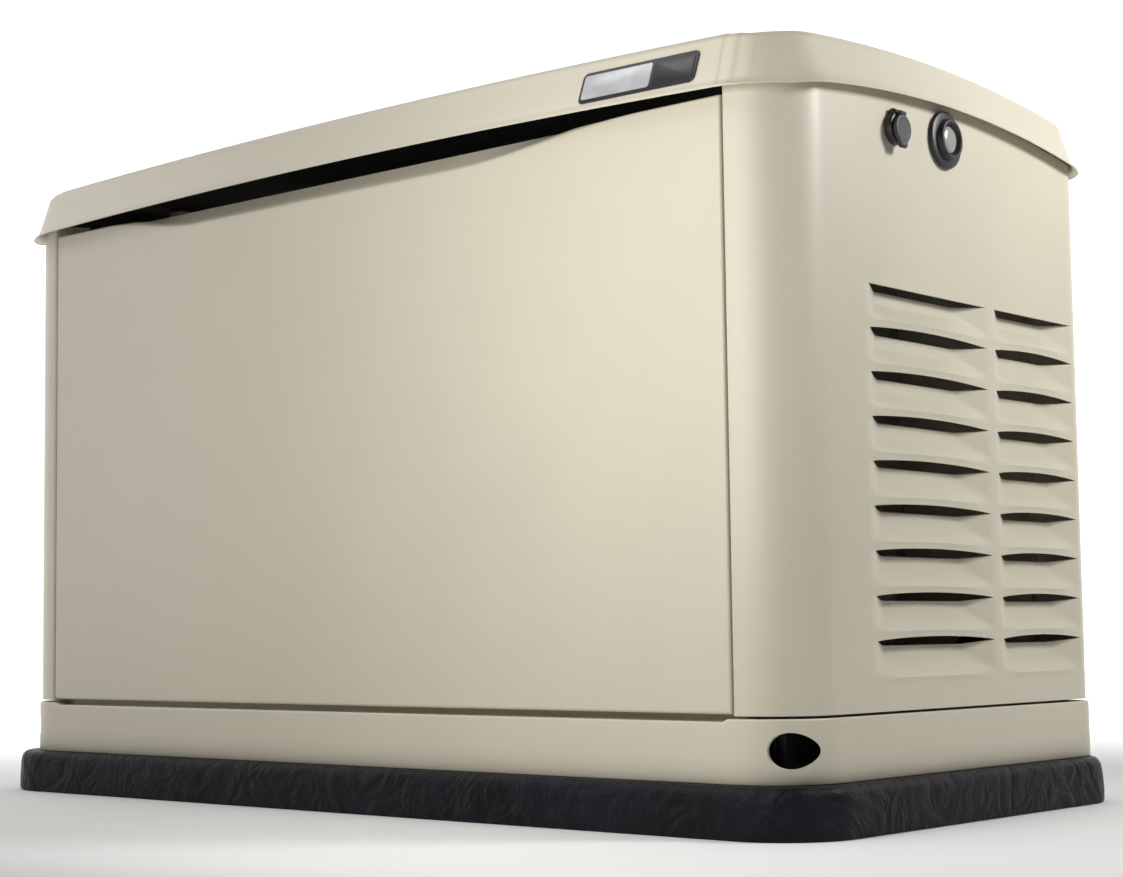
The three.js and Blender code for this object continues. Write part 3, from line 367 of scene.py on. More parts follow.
# ------------------------------------------------------------------ materials
def finish(name, colour, roughness, metallic=0.0, grain=900.0, depth=0.05, mottle=0.06, rough_vary=0.08,
           patches=9.0, coat=0.0, dust=0.0, tint=None, streaks=None, transmission=0.0):
    """A procedural finish. Colour and roughness drift over large patches, and a fine grain stands in relief.

    grain is in cycles per metre, depth is the relief in millimetres and mottle is the share by which the colour
    drifts. dust lightens upward faces. tint is a second colour that shows in the patches.
    """
    made = bpy.data.materials.new(name)
    made.use_nodes = True
    tree = made.node_tree
    nodes, links = tree.nodes, tree.links
    shader = nodes["Principled BSDF"]
    shader.inputs["Metallic"].default_value = metallic
    shader.inputs["Coat Weight"].default_value = coat
    shader.inputs["Coat Roughness"].default_value = 0.25
    shader.inputs["Transmission Weight"].default_value = transmission
    place = nodes.new("ShaderNodeTexCoord")
    patch = nodes.new("ShaderNodeTexNoise")
    patch.inputs["Scale"].default_value = patches
    patch.inputs["Detail"].default_value = 6
    patch.inputs["Roughness"].default_value = 0.6
    links.new(place.outputs["Object"], patch.inputs["Vector"])
    ramp = nodes.new("ShaderNodeValToRGB")
    dark = [c * (1 - mottle) for c in colour]
    light = tint or [min(1, c * (1 + mottle)) for c in colour]
    ramp.color_ramp.elements[0].position = 0.35
    ramp.color_ramp.elements[1].position = 0.68
    ramp.color_ramp.elements[0].color = (*dark, 1)
    ramp.color_ramp.elements[1].color = (*light, 1)
    links.new(patch.outputs["Fac"], ramp.inputs["Fac"])
    shade = ramp.outputs["Color"]
    if dust:
        shade = add_dust(nodes, links, shade, dust)
    links.new(shade, shader.inputs["Base Color"])
    vary = nodes.new("ShaderNodeMapRange")
    vary.inputs["To Min"].default_value = max(0.02, roughness - rough_vary)
    vary.inputs["To Max"].default_value = min(1, roughness + rough_vary)
    links.new(patch.outputs["Fac"], vary.inputs["Value"])
    links.new(vary.outputs["Result"], shader.inputs["Roughness"])
    fine = nodes.new("ShaderNodeTexNoise")
    fine.inputs["Scale"].default_value = grain
    fine.inputs["Detail"].default_value = 3
    if streaks:
        stretch = nodes.new("ShaderNodeMapping")
        stretch.inputs["Scale"].default_value = streaks
        links.new(place.outputs["Object"], stretch.inputs["Vector"])
        links.new(stretch.outputs["Vector"], fine.inputs["Vector"])
    else:
        links.new(place.outputs["Object"], fine.inputs["Vector"])
    bump = nodes.new("ShaderNodeBump")
    bump.inputs["Strength"].default_value = 0.6
    bump.inputs["Distance"].default_value = depth * MM
    links.new(fine.outputs["Fac"], bump.inputs["Height"])
    links.new(bump.outputs["Normal"], shader.inputs["Normal"])
    return made


def add_dust(nodes, links, shade, amount):
    """Mixes a little pale dust into the colour where the surface faces up."""
    facing = nodes.new("ShaderNodeNewGeometry")
    split = nodes.new("ShaderNodeSeparateXYZ")
    links.new(facing.outputs["Normal"], split.inputs["Vector"])
    share = nodes.new("ShaderNodeMapRange")
    share.inputs["From Min"].default_value = 0.4
    share.inputs["To Max"].default_value = amount
    links.new(split.outputs["Z"], share.inputs["Value"])
    mix = nodes.new("ShaderNodeMix")
    mix.data_type = "RGBA"
    mix.inputs["B"].default_value = (0.42, 0.38, 0.32, 1)
    links.new(share.outputs["Result"], mix.inputs["Factor"])
    links.new(shade, mix.inputs["A"])
    return mix.outputs["Result"]


def leathery(name, colour):
    """Moulded composite: rough hide-like relief, with pale rubbed streaks."""
    made = finish(name, colour, 0.48, grain=260, depth=0.9, mottle=0.3, patches=14, rough_vary=0.16,
                  tint=[c * 1.8 for c in colour])
    tree = made.node_tree
    nodes, links = tree.nodes, tree.links
    nodes["Principled BSDF"].inputs["Specular IOR Level"].default_value = 0.15
    place = nodes["Texture Coordinate"]
    fold = nodes.new("ShaderNodeTexNoise")
    fold.inputs["Scale"].default_value = 16
    fold.inputs["Detail"].default_value = 8
    fold.inputs["Distortion"].default_value = 2.6
    links.new(place.outputs["Object"], fold.inputs["Vector"])
    broad = nodes.new("ShaderNodeBump")
    broad.inputs["Strength"].default_value = 0.9
    broad.inputs["Distance"].default_value = 7 * MM
    links.new(fold.outputs["Fac"], broad.inputs["Height"])
    links.new(broad.outputs["Normal"], nodes["Bump"].inputs["Normal"])
    return made


PAINT_COLOUR = (0.61, 0.565, 0.445)
paint = finish("tan_paint", PAINT_COLOUR, 0.46, 0.0, grain=1500, depth=0.035, mottle=0.02, rough_vary=0.04,
               patches=5, coat=0.12)
composite = leathery("composite", (0.007, 0.0065, 0.010))
black_plastic = finish("black_plastic", (0.018, 0.018, 0.020), 0.42, grain=1200, depth=0.04, mottle=0.15, dust=0.05)
grey_plastic = finish("grey_plastic", (0.15, 0.155, 0.16), 0.45, grain=1400, depth=0.03, mottle=0.06, dust=0.05)
rubber = finish("black_rubber", (0.022, 0.022, 0.024), 0.62, grain=1000, depth=0.05, mottle=0.2, dust=0.08)
cast = finish("cast_alloy", (0.42, 0.42, 0.43), 0.48, 0.85, grain=700, depth=0.12, mottle=0.12, dust=0.25)
enamel = finish("black_enamel", (0.030, 0.030, 0.032), 0.35, 0.2, grain=600, depth=0.04, mottle=0.2, dust=0.12)
zinc = finish("zinc_plate", (0.62, 0.61, 0.57), 0.34, 0.95, grain=500, depth=0.01, mottle=0.10, patches=30,
              streaks=(1, 1, 0.06))
steel = finish("bright_steel", (0.60, 0.60, 0.60), 0.28, 1.0, grain=900, depth=0.01, mottle=0.08, patches=25)
exhaust = finish("exhaust_steel", (0.34, 0.31, 0.28), 0.46, 0.9, grain=300, depth=0.06, mottle=0.25, patches=16,
                 tint=(0.24, 0.19, 0.15))
# Dark acoustic lining for the inside of the lid: a real lining whose darkness also stands in for the shade in the gap
# under the lid's lip (painted shade).
foam_and_painted_shade = finish("acoustic_foam_and_painted_shade", (0.030, 0.029, 0.030), 0.9, grain=420, depth=0.8, mottle=0.25)
red_plastic = finish("red_plastic", (0.36, 0.016, 0.012), 0.40, grain=1200, depth=0.03)
yellow_plastic = finish("yellow_plastic", (0.70, 0.46, 0.02), 0.38, grain=1200, depth=0.03)
white_paint = finish("filter_enamel", (0.62, 0.62, 0.60), 0.30, 0.1, grain=900, depth=0.01, mottle=0.03)
copper = finish("copper_windings", (0.46, 0.17, 0.07), 0.34, 0.9, grain=60, depth=0.3, mottle=0.2,
                streaks=(40, 6, 6))
screen = finish("display_glass", (0.10, 0.13, 0.09), 0.12, grain=100, depth=0.0, mottle=0.05, coat=0.6)
lens_plastic = finish("clear_plastic", (0.34, 0.34, 0.31), 0.22, grain=600, depth=0.02, mottle=0.06, coat=0.5)
rubber_grey = finish("cover_rubber", (0.035, 0.035, 0.038), 0.55, grain=1000, depth=0.05, mottle=0.15)
badge_silver = finish("badge_silver", (0.50, 0.50, 0.52), 0.38, 0.35, grain=1500, depth=0.01, mottle=0.12, patches=40)


finishes = {
    "composite": composite, "tan_paint": paint, "black_plastic": black_plastic, "grey_plastic": grey_plastic,
    "cast_alloy": cast, "black_enamel": enamel, "zinc_plate": zinc, "exhaust_steel": exhaust,
    "black_rubber": rubber, "clear_plastic": lens_plastic, "red_plastic": red_plastic,
    "yellow_plastic": yellow_plastic,
}


# ------------------------------------------------------------------ pressed louvres
LOUVRE_DEPTH = 13.5
LOUVRE_DROP = 4.3  # how much lower a louvre's free edge is than the cut that it was made from
LOUVRE_ARCH = 4.5
NEAR_WALL, FAR_WALL = 31, 50  # how far the pressed end walls reach in from each end
# Share of the pitch below the cut, and the share of the depth there: a steep lip, a ramp and a raised foot.
LOUVRE_RAMP = [(0, 1.0), (0.30, 0.80), (0.38, 0.70), (0.70, 0.05), (0.78, -0.13), (0.83, -0.12),
               (0.90, 0), (1, 0)]


def louvre_press(along, z, columns, top, rows):
    """(depth, rise below a cut, rise above a cut) of the pressed sheet, or None outside the louvres."""
    for start, end in columns:
        if start <= along <= end and top - rows * ROW_PITCH - 1e-6 <= z <= top + 1e-6:
            break
    else:
        return None
    width = end - start
    row = min(rows - 1, max(0, int((top - z) / ROW_PITCH + 1e-9)))
    share = (top - z) / ROW_PITCH - row
    near = (along - start) / NEAR_WALL
    far = (end - along) / FAR_WALL
    ends = soft_min(soft_min(near, far, 0.05), 1, 0.12)
    ends = max(0.0, min(near, far, ends))
    ramp = lookup(LOUVRE_RAMP, share)
    depth = LOUVRE_DEPTH * (soft_min(ends, ramp, 0.07) if ramp > 0 else ramp * ends)
    bow = LOUVRE_ARCH * math.sin(math.pi * (along - start) / width) ** 0.7 if start < along < end else 0
    has_next = row + 1 < rows
    rise = -LOUVRE_DROP * ends * (1 - share) + (bow * share ** 3 if has_next else 0)
    return depth, rise, (bow if row > 0 or share > 0.5 else 0), share, row


def pressed_sheet(name, stations, levels, high, columns, top, rows, material):
    """A sheet that runs along stations and up through levels, with rows of louvres pressed into it.

    A station is (along, x, y, inward x, inward y). high(x, y) is the height of the sheet's top edge.
    """
    cuts = {round(top - k * ROW_PITCH, 3) for k in range(rows)}
    verts, index = [], {}

    def vertex(i, j, below):
        along, x, y, nx, ny = stations[i]
        z = levels[j]
        inside = any(a < along < b for a, b in columns)
        cut = round(z, 3) in cuts and inside
        key = (i, j, below and cut)
        if key in index:
            return index[key]
        depth, lift = 0.0, 0.0
        pressed = louvre_press(along, z - (1e-4 if cut and below else 0), columns, top, rows)
        if cut and not below:
            bow = louvre_press(along, z + 1e-4, columns, top, rows)
            lift = bow[1] if bow else 0.0
        elif pressed and inside:
            depth, lift = pressed[0], pressed[1]
        if j == len(levels) - 1:
            z = high(x, y)
        index[key] = len(verts)
        verts.append((x + nx * depth, y + ny * depth, z + lift))
        return index[key]

    faces = []
    for i in range(len(stations) - 1):
        for j in range(len(levels) - 1):
            faces.append((vertex(i, j, False), vertex(i + 1, j, False), vertex(i + 1, j + 1, True),
                          vertex(i, j + 1, True)))
    return new_object(name, verts, faces, material)


def louvre_levels(top, rows, plain_low, plain_high, steps=14):
    """Heights of the mesh lines: close together over the louvres and wide apart elsewhere."""
    levels = [top - rows * ROW_PITCH + (ROW_PITCH * k) / steps for k in range(rows * steps + 1)]
    below = spread(plain_low, levels[0], 3)[:-1]
    above = spread(levels[-1], plain_high, 8)[1:]
    return below + levels + above


# ------------------------------------------------------------------ lid shape
def arch_share(x, y, front_share):
    along_front = front_share * max(0, 1 - (x / 570) ** 2)
    along_side = max(0, 1 - (y / 285) ** 2)
    return 1 - (1 - along_front) * (1 - along_side)


def lip_height(x, y):
    return 711 + 22 * arch_share(x, y, 0.5)


def crown_height(x, y):
    return 771 + 17 * arch_share(x, y, 0.6)


def wall_top(x, y):
    """Top edge of the side and rear walls, hidden behind the lid's skirt."""
    return lip_height(x, y) + 7


# ------------------------------------------------------------------ housing
def side_stations():
    """Stations of the right side panel, from its folded front edge to its folded rear edge."""
    edge = SEAM + 0.6
    points = [(edge, -BODY_Y + 18), (edge, -BODY_Y + 10)]
    points += arc((edge + 2.5, -BODY_Y + 2.5), 2.5, 180, 262, 5)
    front = arc((BODY_X - FRONT_CORNER, -BODY_Y + FRONT_CORNER), FRONT_CORNER, -87, 0, 22)
    points += front
    flat = spread(-BODY_Y + FRONT_CORNER, SIDE_COLUMNS[0][0], 6)[1:]
    flat += spread(*SIDE_COLUMNS[0], 44)[1:]
    flat += spread(SIDE_COLUMNS[0][1], SIDE_COLUMNS[1][0], 3)[1:]
    flat += spread(*SIDE_COLUMNS[1], 34)[1:]
    points += [(BODY_X, y) for y in flat]
    points += arc((BODY_X - REAR_CORNER, BODY_Y - REAR_CORNER), REAR_CORNER, 0, 89, 14)[1:]
    points += [(edge + 2.5, BODY_Y)]
    points += arc((edge + 2.5, BODY_Y - 2.5), 2.5, 98, 180, 5)
    points += [(edge, BODY_Y - 10), (edge, BODY_Y - 16)]
    stations = []
    for k, (x, y) in enumerate(points):
        before, after = points[max(0, k - 1)], points[min(len(points) - 1, k + 1)]
        direction = Vector((after[0] - before[0], after[1] - before[1])).normalized()
        stations.append((y if x == BODY_X else -9999, x, y, -direction.y, direction.x))
    return stations


def side_panel(name, node, right):
    levels = louvre_levels(ROW_TOP, 9, WALL_BOTTOM, 716)
    sheet = pressed_sheet(name, side_stations(), levels, wall_top, SIDE_COLUMNS, ROW_TOP, 9, paint)
    if not right:
        edit(sheet, lambda bm: bmesh.ops.scale(bm, vec=(-1, 1, 1), verts=bm.verts))
        edit(sheet, lambda bm: bmesh.ops.reverse_faces(bm, faces=bm.faces))
    settle(thicken(sheet, 1.6), 40)
    return show(sheet, "housing", [node])


def rear_panel():
    xs = [-DOOR_HALF + 1, -DOOR_HALF + 2, -500]
    xs += spread(*REAR_COLUMNS[0], 36) + spread(REAR_COLUMNS[0][1], REAR_COLUMNS[1][0], 3)[1:-1]
    xs += spread(*REAR_COLUMNS[1], 36) + spread(REAR_COLUMNS[1][1], DOOR_HALF - 1, 18)[1:]
    # The panel faces the rear, so it is followed from right to left.
    stations = [(x, x, BODY_Y - 0.5, 0, -1) for x in reversed(xs)]
    levels = louvre_levels(REAR_TOP, 6, WALL_BOTTOM, 712)
    sheet = pressed_sheet("rear_sheet", stations, levels, lambda x, y: 717, REAR_COLUMNS, REAR_TOP, 6, paint)
    settle(thicken(sheet, 1.6), 40)
    holes = [
        rod("cut", "y", 16, (BODY_Y - 20, BODY_Y + 20), (60, 440), paint, 48, 0.1),
        rod("cut", "y", 17, (BODY_Y - 20, BODY_Y + 20), (440, 170), paint, 48, 0.1),
    ]
    carve(sheet, *holes)
    show(sheet, "housing", ["rear_panel"])
    grommet = turned("conduit_grommet", "y", [
        (BODY_Y - 5, 12), (BODY_Y - 5, 19.5), (BODY_Y - 2.4, 20), (BODY_Y - 2.2, 16.7), (BODY_Y - 0.4, 16.7),
        (BODY_Y - 0.2, 20), (BODY_Y + 1.6, 19), (BODY_Y + 1.8, 16), (BODY_Y - 0.8, 13.5),
        (BODY_Y - 1.0, 12),
    ], (440, 170), rubber, 56)
    quarters = []
    for k in range(4):
        middle = math.radians(45 + 90 * k)
        tip = (440 + 0.5 * math.cos(middle), 170 + 0.5 * math.sin(middle))
        outline = arc((440, 170), 13.5, 1.5 + 90 * k, 88.5 + 90 * k, 8) + [tip]
        quarters.append(slab("membrane", "y", outline, (BODY_Y - 2.6, BODY_Y - 1.4), rubber, 0.2))
    backing = rod("membrane_backing", "y", 14, (BODY_Y - 4.2, BODY_Y - 3.2), (440, 170), rubber, 48, 0.2)
    return show(joined("split_grommet", [grommet, backing, *quarters]), "housing", [])


def base_pan():
    """The painted tray: outer wall, folded top ledge and upturned inner flange, with four lifting holes."""
    marks_x = [s * v for s in (-1, 1) for v in (100, 250, 400, 500, 512, 514, 520, 522)] + [0]
    marks_y = spread(-230, 260, 8)
    profile = [(3, BASE_LOW), (0.6, BASE_LOW), (0, BASE_LOW + 1)]
    profile += [(0, BASE_LOW + 25), (0, BASE_HIGH - 4)]
    profile += [(1.8 - 1.8 * math.cos(a), BASE_HIGH - 1.8 + 1.8 * math.sin(a)) for a in spread(0.2, math.pi / 2, 4)]
    profile += [(6, BASE_HIGH), (22, BASE_HIGH), (23, BASE_HIGH + 1), (23, BASE_HIGH + 14), (24.6, BASE_HIGH + 14)]
    profile += [(24.6, BASE_HIGH - 2), (3, BASE_HIGH - 2.2), (3, BASE_LOW + 20), (3, BASE_LOW)]
    rings = []
    for inset, z in profile:
        ring = []
        for x, y in rounded(BASE_X - inset, BASE_Y - inset, 73 - inset, 41 - inset, 14, marks_x, marks_y):
            dip = 3 * smoothstep(abs(x), 521, 514) if y < -280 and BASE_HIGH - 6 < z < BASE_HIGH + 0.5 else 0
            ring.append((x, y, z - dip))
        rings.append(ring)
    wall = lofted("base_wall", rings, paint, False, False)
    weld(wall)
    face_outwards(wall)
    holes = [rod("cut", "y", 17, (-330, 330), (x, 82), paint, 64, 0.1) for x in (-576, 576)]
    carve(wall, *holes)
    floor = slab("base_floor", "z", rounded(595, 305, 70, 38, 14), (BASE_LOW, BASE_LOW + 2.6), paint, 0)
    return show(joined("base_pan_shell", [wall, floor]), "housing", ["base_pan"])


def mounting_pad():
    """The composite pad, with a worn and slightly uneven skin."""
    marks_x = spread(-530, 530, 60)
    marks_y = spread(-240, 240, 28)
    profile = [(6, 0), (1.5, 0.8), (0.4, 4), (0.2, 14), (0.6, 26), (1.4, 36), (2.4, 42), (4.4, 46), (7.4, 48.8),
               (11, 49.8), (16, 50), (40, 50)]
    rings = []
    for inset, z in profile:
        outline = rounded(PAD["x"] - inset, PAD["y"] - inset, PAD["corner"] - inset, PAD["corner"] - inset,
                          20, marks_x, marks_y)
        ring = []
        for x, y in outline:
            spot = Vector((x, y, z * 2)) * 0.02
            dent = 0.9 * (noise.noise(spot) - 0.4) + 0.35 * noise.noise(spot * 3.3)
            side = Vector((x / 620, y / 328)).normalized() * min(0, dent) * (1 if 2 < z < 49.5 else 0)
            ring.append((x + side.x, y + side.y, z))
        rings.append(ring)
    return show(lofted("pad_block", rings, composite, angle=60), "housing", ["mounting_pad"])


# ------------------------------------------------------------------ front door
def smile_drop(x):
    """How far the door's top edge dips below its corners, for the finger recess."""
    flat, end = (-250, -420) if x < 0 else (170, 430)
    past = min(1, max(0, (x - flat) / (end - flat)))
    return 20 * (0.5 + 0.5 * math.cos(math.pi * past))


def front_door():
    """A folded pan with rounded edges and a recess that slopes in along the middle of its top."""
    bend = 3.0
    depth = 19.0
    turn = [(bend - bend * math.sin(a), bend - bend * math.cos(a)) for a in spread(math.pi / 2, 0, 5)]
    side = [(0, depth), (0, depth / 2)] + turn  # (distance in from the edge, depth behind the face)
    columns = [(-DOOR_HALF + a, d) for a, d in side]
    columns += [(x, 0.0) for x in spread(-DOOR_HALF + 8, -430, 6)]
    columns += [(x, 0.0) for x in spread(-426, 436, 110)]
    columns += [(x, 0.0) for x in spread(442, DOOR_HALF - 8, 6)]
    columns += [(DOOR_HALF - a, d) for a, d in reversed(side)]
    low = [(DOOR_BOTTOM + a, d) for a, d in side]
    middle = spread(DOOR_BOTTOM + 8, 640, 16)
    near_top = spread(648, 0, 1)[:1]
    verts, rows = [], None
    for x, back in columns:
        drop = smile_drop(x)
        edge = DOOR_TOP - drop
        blend = smoothstep(drop, 0, 6)
        strip = [(z, d) for z, d in low] + [(z, 0.0) for z in middle + near_top]
        strip += [(edge - s, 0.0) for s in (36, 20, 10, 6)]
        for a in spread(0.0, 1.0, 6):
            lip_z = edge - bend + bend * math.sin(a * math.pi / 2)
            lip_d = bend - bend * math.cos(a * math.pi / 2)
            slope_z = edge - bend + (bend + 3.0) * a
            slope_d = 4.0 * a * a
            strip.append((lip_z + (slope_z - lip_z) * blend, lip_d + (slope_d - lip_d) * blend))
        foot_z, foot_d = strip[-1]
        for a in spread(0.0, 1.0, 6)[1:]:
            strip.append((foot_z + (DOOR_TOP - foot_z) * a, foot_d + (depth - foot_d) * a))
        rows = len(strip)
        verts += [(x, -BODY_Y + min(depth, back + d), z) for z, d in strip]
    faces = grid_faces(len(columns), rows)
    hidden = {0, 1, len(columns) - 2, len(columns) - 3}
    kept = [f for f in faces if not (f[0] // rows in hidden and (f[0] % rows < 2 or f[0] % rows > rows - 8))]
    sheet = new_object("door_sheet", verts, kept, paint)
    settle(thicken(sheet, 1.4), 40)
    return show(sheet, "door", ["front_door"])


# ------------------------------------------------------------------ lid
SKIRT = [(0.4, 0.0), (0, 0.02), (0.6, 0.045), (2.6, 0.08), (5, 0.16), (7.5, 0.28), (10, 0.41), (12.4, 0.54),
         (14.8, 0.67), (16.6, 0.77), (18.4, 0.85), (20.6, 0.91), (23.6, 0.95), (28, 0.975), (34, 0.988), (44, 0.995)]
CROWN = [(60, 0.999), (64, 1), (67, 1), (72, 1), (77, 1), (80, 1), (110, 1), (150, 1), (200, 1),
         (250, 1), (290, 1), (319, 1)]


def joggle(x):
    """How far the lid's end caps are set below its middle."""
    return 1.3 * smoothstep(abs(x), 525, 528.5) + 1.3 * smoothstep(abs(x), 540, 544)


def lid_shell():
    """The crowned lid: flared lip, leaning skirt, rolled shoulder and a raised middle between two joggles."""
    marks_x = [s * v for s in (-1, 1) for v in (*spread(0, 500, 24)[1:], 515, 524.5, 526, 527.5, 529)] + [0]
    marks_y = spread(-232, 252, 30)
    rings = []
    for inset, share in SKIRT + CROWN:
        last = inset == CROWN[-1][0]
        front = 0 if last else max(10, LID_CORNER - inset)
        rear = 0 if last else max(10, LID_REAR_CORNER - inset)
        ring = []
        for x, y in rounded(LIP_X - inset, LIP_Y - inset, front, rear, 44, marks_x, marks_y):
            low, high = lip_height(x, y), crown_height(x, y)
            lean = 1 - smoothstep(share, 0.75, 0.97)
            shift = joggle(x) * lean * smoothstep(share, 0.0, 0.06)
            away = Vector((0, math.copysign(1, y))) if abs(x) < 560 else Vector((x / 609, y / 319)).normalized()
            z = low + (high - low) * share - joggle(x) * (1 - lean)
            ring.append((x - away.x * shift, y - away.y * shift, z))
        rings.append(ring)
    shell = lofted("lid_shell", rings, paint, False, False)
    face_outwards(weld(shell))
    top = max(shell.data.polygons, key=lambda face: face.center.z)
    if top.normal.z < 0:
        edit(shell, lambda bm: bmesh.ops.reverse_faces(bm, faces=bm.faces))
    shell.data.materials.append(foam_and_painted_shade)
    solid = thicken(shell, 1.8).modifiers["thickness"]
    solid.use_even_offset = False
    solid.material_offset = 1  # the inside gets the dark lining, which also paints the shade seen in the gap under the lip, but for the rim
    settle(shell, 50)
    # The lower skirt keeps the paint inside; above it the dark lining paints the shade in the gap under the lip.
    for face in shell.data.polygons:
        if face.center.z < 742 * MM:
            face.material_index = 0
    return show(shell, "lid", ["roof"])


def on_skirt(x, z, proud):
    """A point on the front of the lid's skirt, lifted off it by proud."""
    low, high = lip_height(x, -319), crown_height(x, -319)
    share = (z - low) / (high - low)
    inset = lookup([(at, by) for by, at in SKIRT], share)
    return (x, -(LIP_Y - inset) - 0.9 * proud, z + 0.35 * proud)


def badge():
    """A name plate without a name: a dark frame around a silver field and a dark field."""

    def outline(low_x, high_x, low_z, high_z, corner):
        spots = []
        for cx, cz, start in ((high_x - corner, high_z - corner, 0), (low_x + corner, high_z - corner, 90),
                              (low_x + corner, low_z + corner, 180), (high_x - corner, low_z + corner, 270)):
            spots += arc((cx, cz), corner, start, start + 90, 6)
        filled = []
        for k, (x0, z0) in enumerate(spots):
            x1, z1 = spots[(k + 1) % len(spots)]
            steps = max(1, int(abs(x1 - x0) / 12))
            filled += [(x0 + (x1 - x0) * n / steps, z0 + (z1 - z0) * n / steps) for n in range(steps)]
        return [(x + 0.06 * (z - 724), z + 0.012 * (441 - x)) for x, z in filled]

    def plate(name, edges, proud, material):
        rings = [[on_skirt(x, z, lift) for x, z in outline(*edges)] for lift in proud]
        shrunk = (edges[0] + 0.8, edges[1] - 0.8, edges[2] + 0.8, edges[3] - 0.8, max(1, edges[4] - 0.8))
        rings.append([on_skirt(x, z, proud[-1] + 0.4) for x, z in outline(*shrunk)])
        return lofted(name, rings, material, True, True, 30)

    frame_plate = plate("badge_frame", (355, 500, 724.5, 757.5, 6), (0.2, 1.2), black_plastic)
    silver = plate("badge_silver", (358.5, 444, 728, 754, 3), (1.4, 1.9), badge_silver)
    dark = plate("badge_dark", (446, 496.5, 728, 754, 3), (1.4, 1.9), enamel)
    return show(joined("badge", [frame_plate, silver, dark]), "lid", ["badge_plate"])


# ------------------------------------------------------------------ build the outside
side_panel("right_panel_sheet", "right_side_panel", True)
side_panel("left_panel_sheet", "left_side_panel", False)
rear_panel()
base_pan()
mounting_pad()
front_door()
lid_shell()
badge()


# ------------------------------------------------------------------ locks, light and hinges
LOCK_Y, LOCK_Z = -108, 696
LIGHT_Y, LIGHT_Z = -7, 701


def mirrored_x(obj):
    edit(obj, lambda bm: bmesh.ops.scale(bm, vec=(-1, 1, 1), verts=bm.verts))
    edit(obj, lambda bm: bmesh.ops.reverse_faces(bm, faces=bm.faces))
    return obj


def lock(side, word):
    """A round lock with a hinged weather cover, on the right side or mirrored to the left."""
    centre = (LOCK_Y, LOCK_Z)
    case = turned("lock_case", "x", [
        (573, 0), (573, 12.6), (574, 13.4), (595.2, 13.4), (595.3, 15.8), (596.0, 16.5), (602.4, 16.5), (603.4, 16.0),
        (603.8, 15.2), (603.8, 13.6), (603.0, 13.2), (603.0, 9.6), (603.7, 9.2), (603.7, 0),
    ], centre, black_plastic)
    knob = rod("lock_knob", "y", 5.0, (LOCK_Y - 8, LOCK_Y + 8), (599.2, LOCK_Z + 14.8), black_plastic, 32, 1.4)
    web = box("lock_web", (596, 603.4), (LOCK_Y - 6.5, LOCK_Y + 6.5), (LOCK_Z + 10, LOCK_Z + 15), black_plastic, 1.5, 3)
    nut = turned("lock_nut", "x", [(583, 13.5), (583, 18), (591, 18), (591, 13.5)], centre, zinc, 6)
    body = joined(f"lock_{word}", [case, knob, web, nut])

    def cover_outline(shrink):
        spots = arc((LOCK_Y, LOCK_Z - 1.4), 14.8 - shrink, -52, 232, 46)
        tab = [(-7.6 + shrink * 0.7, 0.78), (-6.8 + shrink * 0.5, 0.2), (-5.0, 0), (5.0, 0)]
        tab += [(6.8 - shrink * 0.5, 0.2), (7.6 - shrink * 0.7, 0.78)]
        return spots + [(LOCK_Y + dy, LOCK_Z - 20.6 + shrink + 6 * up) for dy, up in tab]

    steps = [(0.8, 604.8), (0, 605.4), (0, 607.4), (0.8, 608.6), (2.4, 609.2), (4.0, 608.8), (8, 608.9)]
    rings = [[(x, y, z) for y, z in cover_outline(shrink)] for shrink, x in steps]
    disc = lofted("cover_disc", rings, rubber_grey, True, True, 30)
    knuckle = rod("cover_knuckle", "y", 2.4, (LOCK_Y - 5, LOCK_Y + 5), (607.0, LOCK_Z + 14.5), rubber_grey, 24, 0.8)
    cover = joined(f"lock_cover_{word}_flap", [disc, knuckle])
    for obj in (body, cover) if side < 0 else ():
        mirrored_x(obj)
    show(body, "housing", [f"lock_body_{word}"])
    show(cover, f"{word}_lock_flap", [f"lock_cover_{word}"])


def status_light():
    """The round status light: black flange, raised ring and a frosted lens."""
    centre = (LIGHT_Y, LIGHT_Z)
    bezel = turned("bezel_ring", "x", [
        (579, 19.8), (595.3, 19.8), (595.4, 29.6), (596.2, 30.4), (598.0, 30.4), (599.6, 29.8), (600.4, 28.4),
        (600.5, 22.4), (601.0, 21.6), (605.6, 20.9), (606.7, 20.2), (607.0, 19.0), (606.7, 17.6), (604.4, 15.6),
        (600.0, 14.7), (579, 14.7),
    ], centre, black_plastic, 96)
    lens = turned("lens_dome", "x", [
        (581, 0), (581, 14.2), (600.6, 14.4), (602.6, 13.8), (604.0, 12.0), (604.7, 8.0), (605.0, 3.5), (605.0, 0),
    ], centre, lens_plastic, 72)
    show(bezel, "housing", ["light_bezel"])
    show(lens, "housing", ["light_lens"])


# ------------------------------------------------------------------ refining a CAD piece
def refine(node, width=1.2, material=None, extras=(), smooth=0, keep_facets=False, name=None):
    """Stands in for a CAD node with a copy that has rounded edges, its own finish and the extra details."""
    source = frame["nodes"][node]
    copy = bpy.data.objects.new(f"{node}_body", source.data.copy())
    bpy.context.scene.collection.objects.link(copy)
    slot = source.data.materials[0].name.split(".")[0]
    copy.data.materials.clear()
    copy.data.materials.append(material or finishes[slot])
    weld(copy, 0.02)
    if not keep_facets:
        edit(copy, lambda bm: bmesh.ops.dissolve_limit(
            bm, angle_limit=math.radians(0.6), verts=bm.verts, edges=bm.edges))
    if width:
        bevelled(copy, width, 2, 30)
    if smooth:
        subdivide = copy.modifiers.new("smooth", "SUBSURF")
        subdivide.levels = smooth
    settle(copy, 34)
    whole = joined(name or f"{node}_detail", [copy, *extras]) if extras else copy
    return show(whole, source["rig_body"], [node])


def leaned(obj, side):
    """Leans a piece that was built upright over the crankshaft, to the front for 1 and to the rear for -1."""
    hub = Vector((0, CRANK_Y, CRANK_Z))
    turn = Matrix.Translation(hub) @ Matrix.Rotation(math.radians(45 * side), 4, "X") @ Matrix.Translation(-hub)
    return moved(obj, turn)


